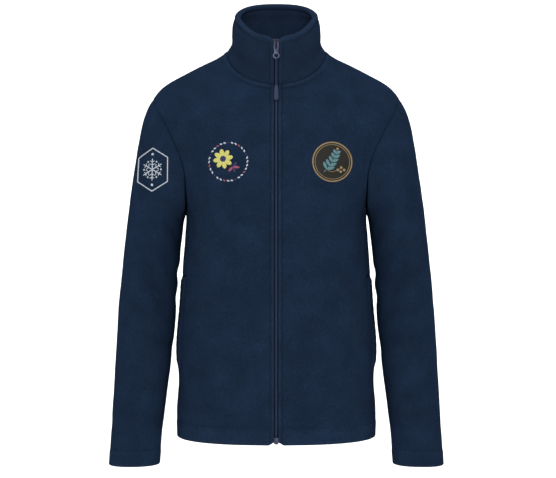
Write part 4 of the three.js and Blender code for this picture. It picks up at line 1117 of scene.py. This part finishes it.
def makeCord():
    # a braided tube: its strands are low ridges that wind both ways round it
    centre = onPull(smoothLine(cordLine(), 14))
    length = arcLengths(centre, 0)
    at = np.linspace(0, length[-1], braid["steps"])
    centre = pointsAt(at, length, centre)
    heading = unit(np.gradient(centre, axis=0))
    side = unit(np.cross(heading, [0.0, 0.2, 1.0]))
    lift = unit(np.cross(side, heading))
    turn = np.linspace(0, 2 * math.pi, braid["sides"], endpoint=False)[None, :]
    wind = at[:, None] / braid["wind"]
    strands = np.maximum(np.cos(3 * turn + wind), np.cos(3 * turn - wind))
    radius = pull["cordRadius"] + braid["ridge"] * (strands - 1)
    outwards = np.cos(turn)[..., None] * side[:, None] + np.sin(turn)[..., None] * lift[:, None]
    points = centre[:, None] + radius[..., None] * outwards
    faces = tubeFaces(*points.shape[:2])
    piece = linkMesh("puller_cord_braid", points.reshape(-1, 3), faces, braidedCord, "pull")
    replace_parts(piece, "puller_cord")


def makeGrip():
    # moulded round the cord's ends, with a shallow thumb hollow on its front
    top = pull["ringEnd"] - pull["drop"]
    down = np.concatenate([np.linspace(0, 1, 4), np.linspace(1.6, 25.6, 34), np.linspace(26, 27, 6)])
    turn = np.linspace(0, 2 * math.pi, 40, endpoint=False)[None, :]
    width = tableValue(gripSections, "down", down, "width")[:, None]
    depth = tableValue(gripSections, "down", down, "depth")[:, None]
    radius = oblongRadius(turn, 3)
    hollow = 0.35 * np.exp(-((down[:, None] - 15) / 6) ** 2) * np.maximum(np.sin(turn), 0) ** 2
    x = width / 2 * radius * np.cos(turn)
    z = depth / 2 * radius * np.sin(turn) - hollow
    ring = np.stack([x, (top - down)[:, None] + 0 * x, z], axis=-1)
    upper, lower = (ring[row] * [0.7, 1, 0.7] + [0, rise, 0] for row, rise in ((0, 0.3), (-1, -0.3)))
    ring = np.array([upper, *ring, lower])
    faces = tubeFaces(*ring.shape[:2])
    points = onPull(ring.reshape(-1, 3))
    piece = linkMesh("puller_grip_moulded", points, faces, softGrip, "pull")
    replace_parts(piece, "puller_grip")
    turnOutwards(piece.data)


softCasting("zip_slider", "zip_slider_casting", darkZinc, "jacket", 0.28, ears=0.45)
softCasting("pull_tab", "pull_tab_casting", zincCast, "pull", 0.3)
softCasting("zip_stop", "zip_stop_casting", zincCast, "jacket", 0.35)
makeCord()
makeGrip()
print("pull made")


# Badges: generic embroidered motifs, drawn in millimetres across and up, and laid on the cloth

def onChest(x, z, lift):
    level = z + 0 * x
    for _ in range(14):
        angle = angleAtX(bodyRings, level, np.abs(x))
        level = level + (z - bodyPlain(level, angle)[..., 2]) * 0.8
    return bodySurface(level, angle * np.sign(x), -lift, 1.0)


def onRightSleeve(x, z, lift):
    along, turn = 130.0 + 0 * x, math.pi / 2 + 0 * x
    for _ in range(14):
        point = sleevePlain(along, turn)
        byAlong = sleevePlain(along + 1, turn) - point
        byTurn = (sleevePlain(along, turn + 0.01) - point) / 0.01
        wantX, wantZ = -x - point[:, 0], z - point[:, 2]
        scale = byAlong[:, 0] * byTurn[:, 2] - byAlong[:, 2] * byTurn[:, 0]
        along = along + np.clip((wantX * byTurn[:, 2] - wantZ * byTurn[:, 0]) / scale, -20, 20)
        turn = turn + np.clip((byAlong[:, 0] * wantZ - byAlong[:, 2] * wantX) / scale, -0.2, 0.2)
    return sleeveSurface(along, turn, -lift, 1.0, -1) * [-1, 1, 1]


def padFill(outline, height=0.7):
    # satin stitch over a closed outline: steep sides and a low dome, closed under the cloth's face
    outline = np.asarray(outline, float)
    middle = outline.mean(axis=0)
    rings = [(1.0, -0.6), (1.0, 0.45), (0.94, 0.85), (0.75, 1.0), (0.4, 1.05), (0.02, 1.05)]
    points = [np.column_stack([middle + (outline - middle) * size, np.full(len(outline), height * high)])
              for size, high in rings]
    return np.concatenate(points), tubeFaces(len(rings), len(outline))


def satinLine(path, width, height=0.6, closed=False):
    # a raised line of satin stitch along a path, round at its ends
    path = np.asarray(path, float)
    if closed:
        path = np.concatenate([path, path[:1]])
    length = arcLengths(path, 0)
    at = np.linspace(0, length[-1], max(5, int(length[-1] / 1.5) + 1))
    path = pointsAt(at, length, path)
    if closed:
        path = path[:-1]
        heading = unit(np.roll(path, -1, axis=0) - np.roll(path, 1, axis=0))
        half = width / 2 + 0 * at[:-1]
    else:
        heading = unit(np.gradient(path, axis=0))
        toEnd = np.minimum(at, at[-1] - at)
        half = width / 2 * np.sqrt(np.clip(1 - (1 - np.clip(toEnd / (width / 2), 0, 1)) ** 2, 0.04, 1))
    across = np.stack([-heading[:, 1], heading[:, 0]], axis=-1)
    section = [(-1, -0.6), (-1, 0.3), (-0.6, 0.85), (0, 1.0), (0.6, 0.85), (1, 0.3), (1, -0.6)]
    rows = [np.column_stack([path + across * (half * side)[:, None], np.full(len(path), height * high)])
            for side, high in section]
    grid = np.stack(rows, axis=1)
    count, columns = grid.shape[:2]
    faces = tubeFaces(count, columns)
    if closed:
        faces = (np.array(gridFaces(count + 1, columns, wrapped=True)) % (count * columns)).tolist()
    return grid.reshape(-1, 3), faces


def turnedShape(x, y, u, v, turn):
    cosine, sine = math.cos(turn), math.sin(turn)
    return np.column_stack([x + u * cosine - v * sine, y + u * sine + v * cosine])


def circle(x, y, radius, count=28, squash=1.0, turn=0.0):
    t = np.linspace(0, 2 * math.pi, count, endpoint=False)
    return turnedShape(x, y, radius * np.cos(t), radius * squash * np.sin(t), turn)


def leaf(x, y, length, width, turn):
    # a pointed leaf with its stalk end at x, y
    t = np.linspace(0, 2 * math.pi, 20, endpoint=False)
    v = width / 2 * np.sin(t) * (0.55 + 0.45 * np.abs(np.sin(t)))
    return turnedShape(x, y, length / 2 * (1 + np.cos(t)), v, turn)


def spoke(turn, near, far, x=0.0, y=0.0):
    return [(x + r * math.cos(turn), y + r * math.sin(turn)) for r in (near, far)]


def daisyMotif():
    shapes = []
    dashes, dashColours = 32, ("white", "white", "violet", "white", "white", "red")
    for k in range(dashes):
        turn = 2 * math.pi * k / dashes
        path = [spoke(turn + lean, 0, r)[1] for r, lean in ((32.1, -0.07), (33.0, 0), (33.9, 0.07))]
        shapes.append((satinLine(path, 2.5), dashColours[k % 6]))
    x, y = -9.0, 5.0
    for k in range(8):
        turn = math.pi * k / 4 + 0.2
        shapes.append((padFill(circle(*spoke(turn, 0, 10.6, x, y)[1], 6.6, 22, 0.6, turn)), "yellow"))
    shapes.append((padFill(circle(x, y, 5.2), 1.0), "violet"))
    shapes.append((satinLine([(4, -3), (8, -9), (13, -14)], 1.3), "violet"))
    leaves = ((-0.1, 12, "red"), (-2.3, 11, "red"), (0.9, 11, "violet"), (-1.2, 11, "violet"))
    for turn, reach, colour in leaves:
        shapes.append((padFill(leaf(8, -9, reach, 4.4, turn)), colour))
    return shapes


def sprigMotif():
    stem = [(-15, -18), (-9, -12), (-2, -3), (4, 7), (9, 19)]
    shapes = [(padFill(circle(0, 0, 33.5, 72), 0.35), "brown"),
              (satinLine(circle(0, 0, 33.6, 110), 2.4, 0.8, closed=True), "tan"),
              (satinLine(circle(0, 0, 29.8, 100), 1.1, 0.7, closed=True), "tan"),
              (satinLine(stem, 1.4, 0.8), "teal")]
    for k, (x, y) in enumerate([(-10, -13), (-5, -7), (0, 0), (4, 7), (7, 14)]):
        size = 14 - 1.3 * k
        for turn in (0.25 + 0.08 * k, 1.95 + 0.05 * k):
            shapes.append((padFill(leaf(x, y, size, 5.6, turn), 0.9), "teal"))
    for x, y in ((9, -14), (15, -10), (14, -17), (20, -14), (9, 22.5)):
        shapes.append((padFill(circle(x, y, 2.4, 16), 1.1), "tan"))
    shapes.append((satinLine([(-9, -15), (0, -17.5), (9, -14), (15, -10)], 1.0, 0.7), "tan"))
    return shapes


def crystalMotif():
    corners = [(0, 38), (27, 21), (27, -21), (0, -38), (-27, -21), (-27, 21)]
    shapes = [(satinLine(corners, 1.9, closed=True), "white")]
    for k in range(6):
        turn = math.pi / 6 + math.pi / 3 * k
        shapes.append((satinLine(spoke(turn, 0, 19.5), 1.8), "white"))
        for at, reach in ((7.5, 6.5), (13, 5.0)):
            foot = spoke(turn, 0, at)[1]
            for lean in (math.pi / 3, -math.pi / 3):
                shapes.append((satinLine(spoke(turn + lean, 0, reach, *foot), 1.4, 0.5), "white"))
        shapes.append((padFill(circle(*spoke(turn + math.pi / 6, 0, 15.5)[1], 1.6, 14)), "white"))
    for y in (27, -27):
        shapes.append((padFill(circle(0, y, 2.2, 16, 1.0)), "white"))
    return shapes


def makeBadge(name, motif, place, lay, lift):
    points, faces, colours, start = [], [], [], 0
    for (shapePoints, shapeFaces), colour in motif:
        points.append(shapePoints)
        faces += [[start + i for i in face] for face in shapeFaces]
        colours += [colour] * len(shapeFaces)
        start += len(shapePoints)
    points = np.concatenate(points)
    onCloth = lay(place[0] + points[:, 0], place[1] + points[:, 1], points[:, 2] + lift)
    used = sorted(set(colours))
    piece = linkMesh(name, onCloth, faces, threads[used[0]])
    for colour in used[1:]:
        piece.data.materials.append(threads[colour])
    piece.data.polygons.foreach_set("material_index", [used.index(colour) for colour in colours])
    turnOutwards(piece.data)


threadColours = {"white": "#9AA1A9", "violet": "#262649", "red": "#7B3F50", "yellow": "#A8A45A",
                 "tan": "#77664A", "teal": "#49696F", "brown": "#1B1A16"}
threads = {name: finishedMaterial(name + " embroidery thread", "embroidery", code)
           for name, code in threadColours.items()}
makeBadge("badge_daisy", daisyMotif(), (-82, -208), onChest, 0.1)
makeBadge("badge_sprig", sprigMotif(), (96, -208), onChest, 0.15)
makeBadge("badge_crystal", crystalMotif(), (-216, -219), onRightSleeve, 0.1)
print("badges made")


# Stitches

def makeStitches():
    tree = repeatTree("lockstitch", (6, 5), seamThread)
    step = seams["stitchStep"]
    stitches = []
    for run, outwards in stitchRuns:
        length = arcLengths(run, 0)
        spots = pointsAt(np.arange(step / 2, length[-1] - step / 4, step), length, run)
        share = np.linspace(0, 1, len(spots))
        facing = unit(pointsAt(share, np.linspace(0, 1, len(outwards)), outwards))
        heading = unit(np.gradient(spots, axis=0))
        stitches.append((spots + facing * seams["stitchLift"], heading, facing))
    places, aims, outs = (np.concatenate(rows) for rows in zip(*stitches))
    size = (seams["stitchLength"], seams["stitchWide"], seams["stitchWide"] * 0.7)
    addRepeats("topstitching", tree, places, aims, outs, size)


makeStitches()
print("stitches made")


# Stage and lights

stage = {"floor": -1.02, "wall": 3.6, "curve": 0.9, "side": 6.0, "front": -3.4, "height": 3.6, "world": 0.74}
# each light's place, its target, its size and its power
lights = {
    "key": ((-0.6, -3.0, 1.2), (0, 0, -0.3), (1.8, 1.4), 52),
    "fill": ((0.5, -2.9, 0.1), (0, 0, -0.35), (1.6, 2.0), 34),
    "top": ((0.0, -0.4, 2.2), (0, 0, -0.2), (2.4, 1.4), 26),
    "backdrop left": ((-2.6, 1.9, 1.2), (0, 3.6, -0.4), (1.4, 2.6), 60),
    "backdrop right": ((2.6, 1.9, 1.2), (0, 3.6, -0.4), (1.4, 2.6), 60),
}


def makeStage():
    # a pale floor that curves up into the backdrop
    floor, wall, curve = stage["floor"], stage["wall"], stage["curve"]
    bend = [math.pi / 2 * k / 24 for k in range(25)]
    profile = [(wall - curve + curve * math.sin(turn), floor + curve * (1 - math.cos(turn))) for turn in bend]
    profile = [(stage["front"], floor), *profile, (wall, floor + stage["height"])]
    points = [(x, y, z) for x in (-stage["side"], stage["side"]) for y, z in profile]
    count = len(profile)
    mesh = bpy.data.meshes.new("backdrop")
    mesh.from_pydata(points, [], [(i, count + i, count + i + 1, i + 1) for i in range(count - 1)])
    mesh.shade_smooth()
    material, tree = newMaterial("pale backdrop paper")
    finishMaterial(tree, Base_Color=(0.93, 0.93, 0.93, 1), Roughness=0.9)
    mesh.materials.append(material)
    linkObject("backdrop", mesh)


def makeLights():
    world = bpy.data.worlds.new("studio")
    world.use_nodes = True
    background = world.node_tree.nodes["Background"]
    background.inputs["Color"].default_value = (1, 1, 1, 1)
    background.inputs["Strength"].default_value = stage["world"]
    bpy.context.scene.world = world
    for name, (place, target, size, power) in lights.items():
        data = bpy.data.lights.new(name, "AREA")
        data.shape = "RECTANGLE"
        data.size, data.size_y = size
        data.energy = power
        light = linkObject(name, data)
        light.location = place
        light.rotation_euler = (Vector(target) - Vector(place)).to_track_quat("-Z", "Y").to_euler()
    bpy.context.scene.view_settings.view_transform = "Standard"


makeStage()
makeLights()
print("stage and lights made")
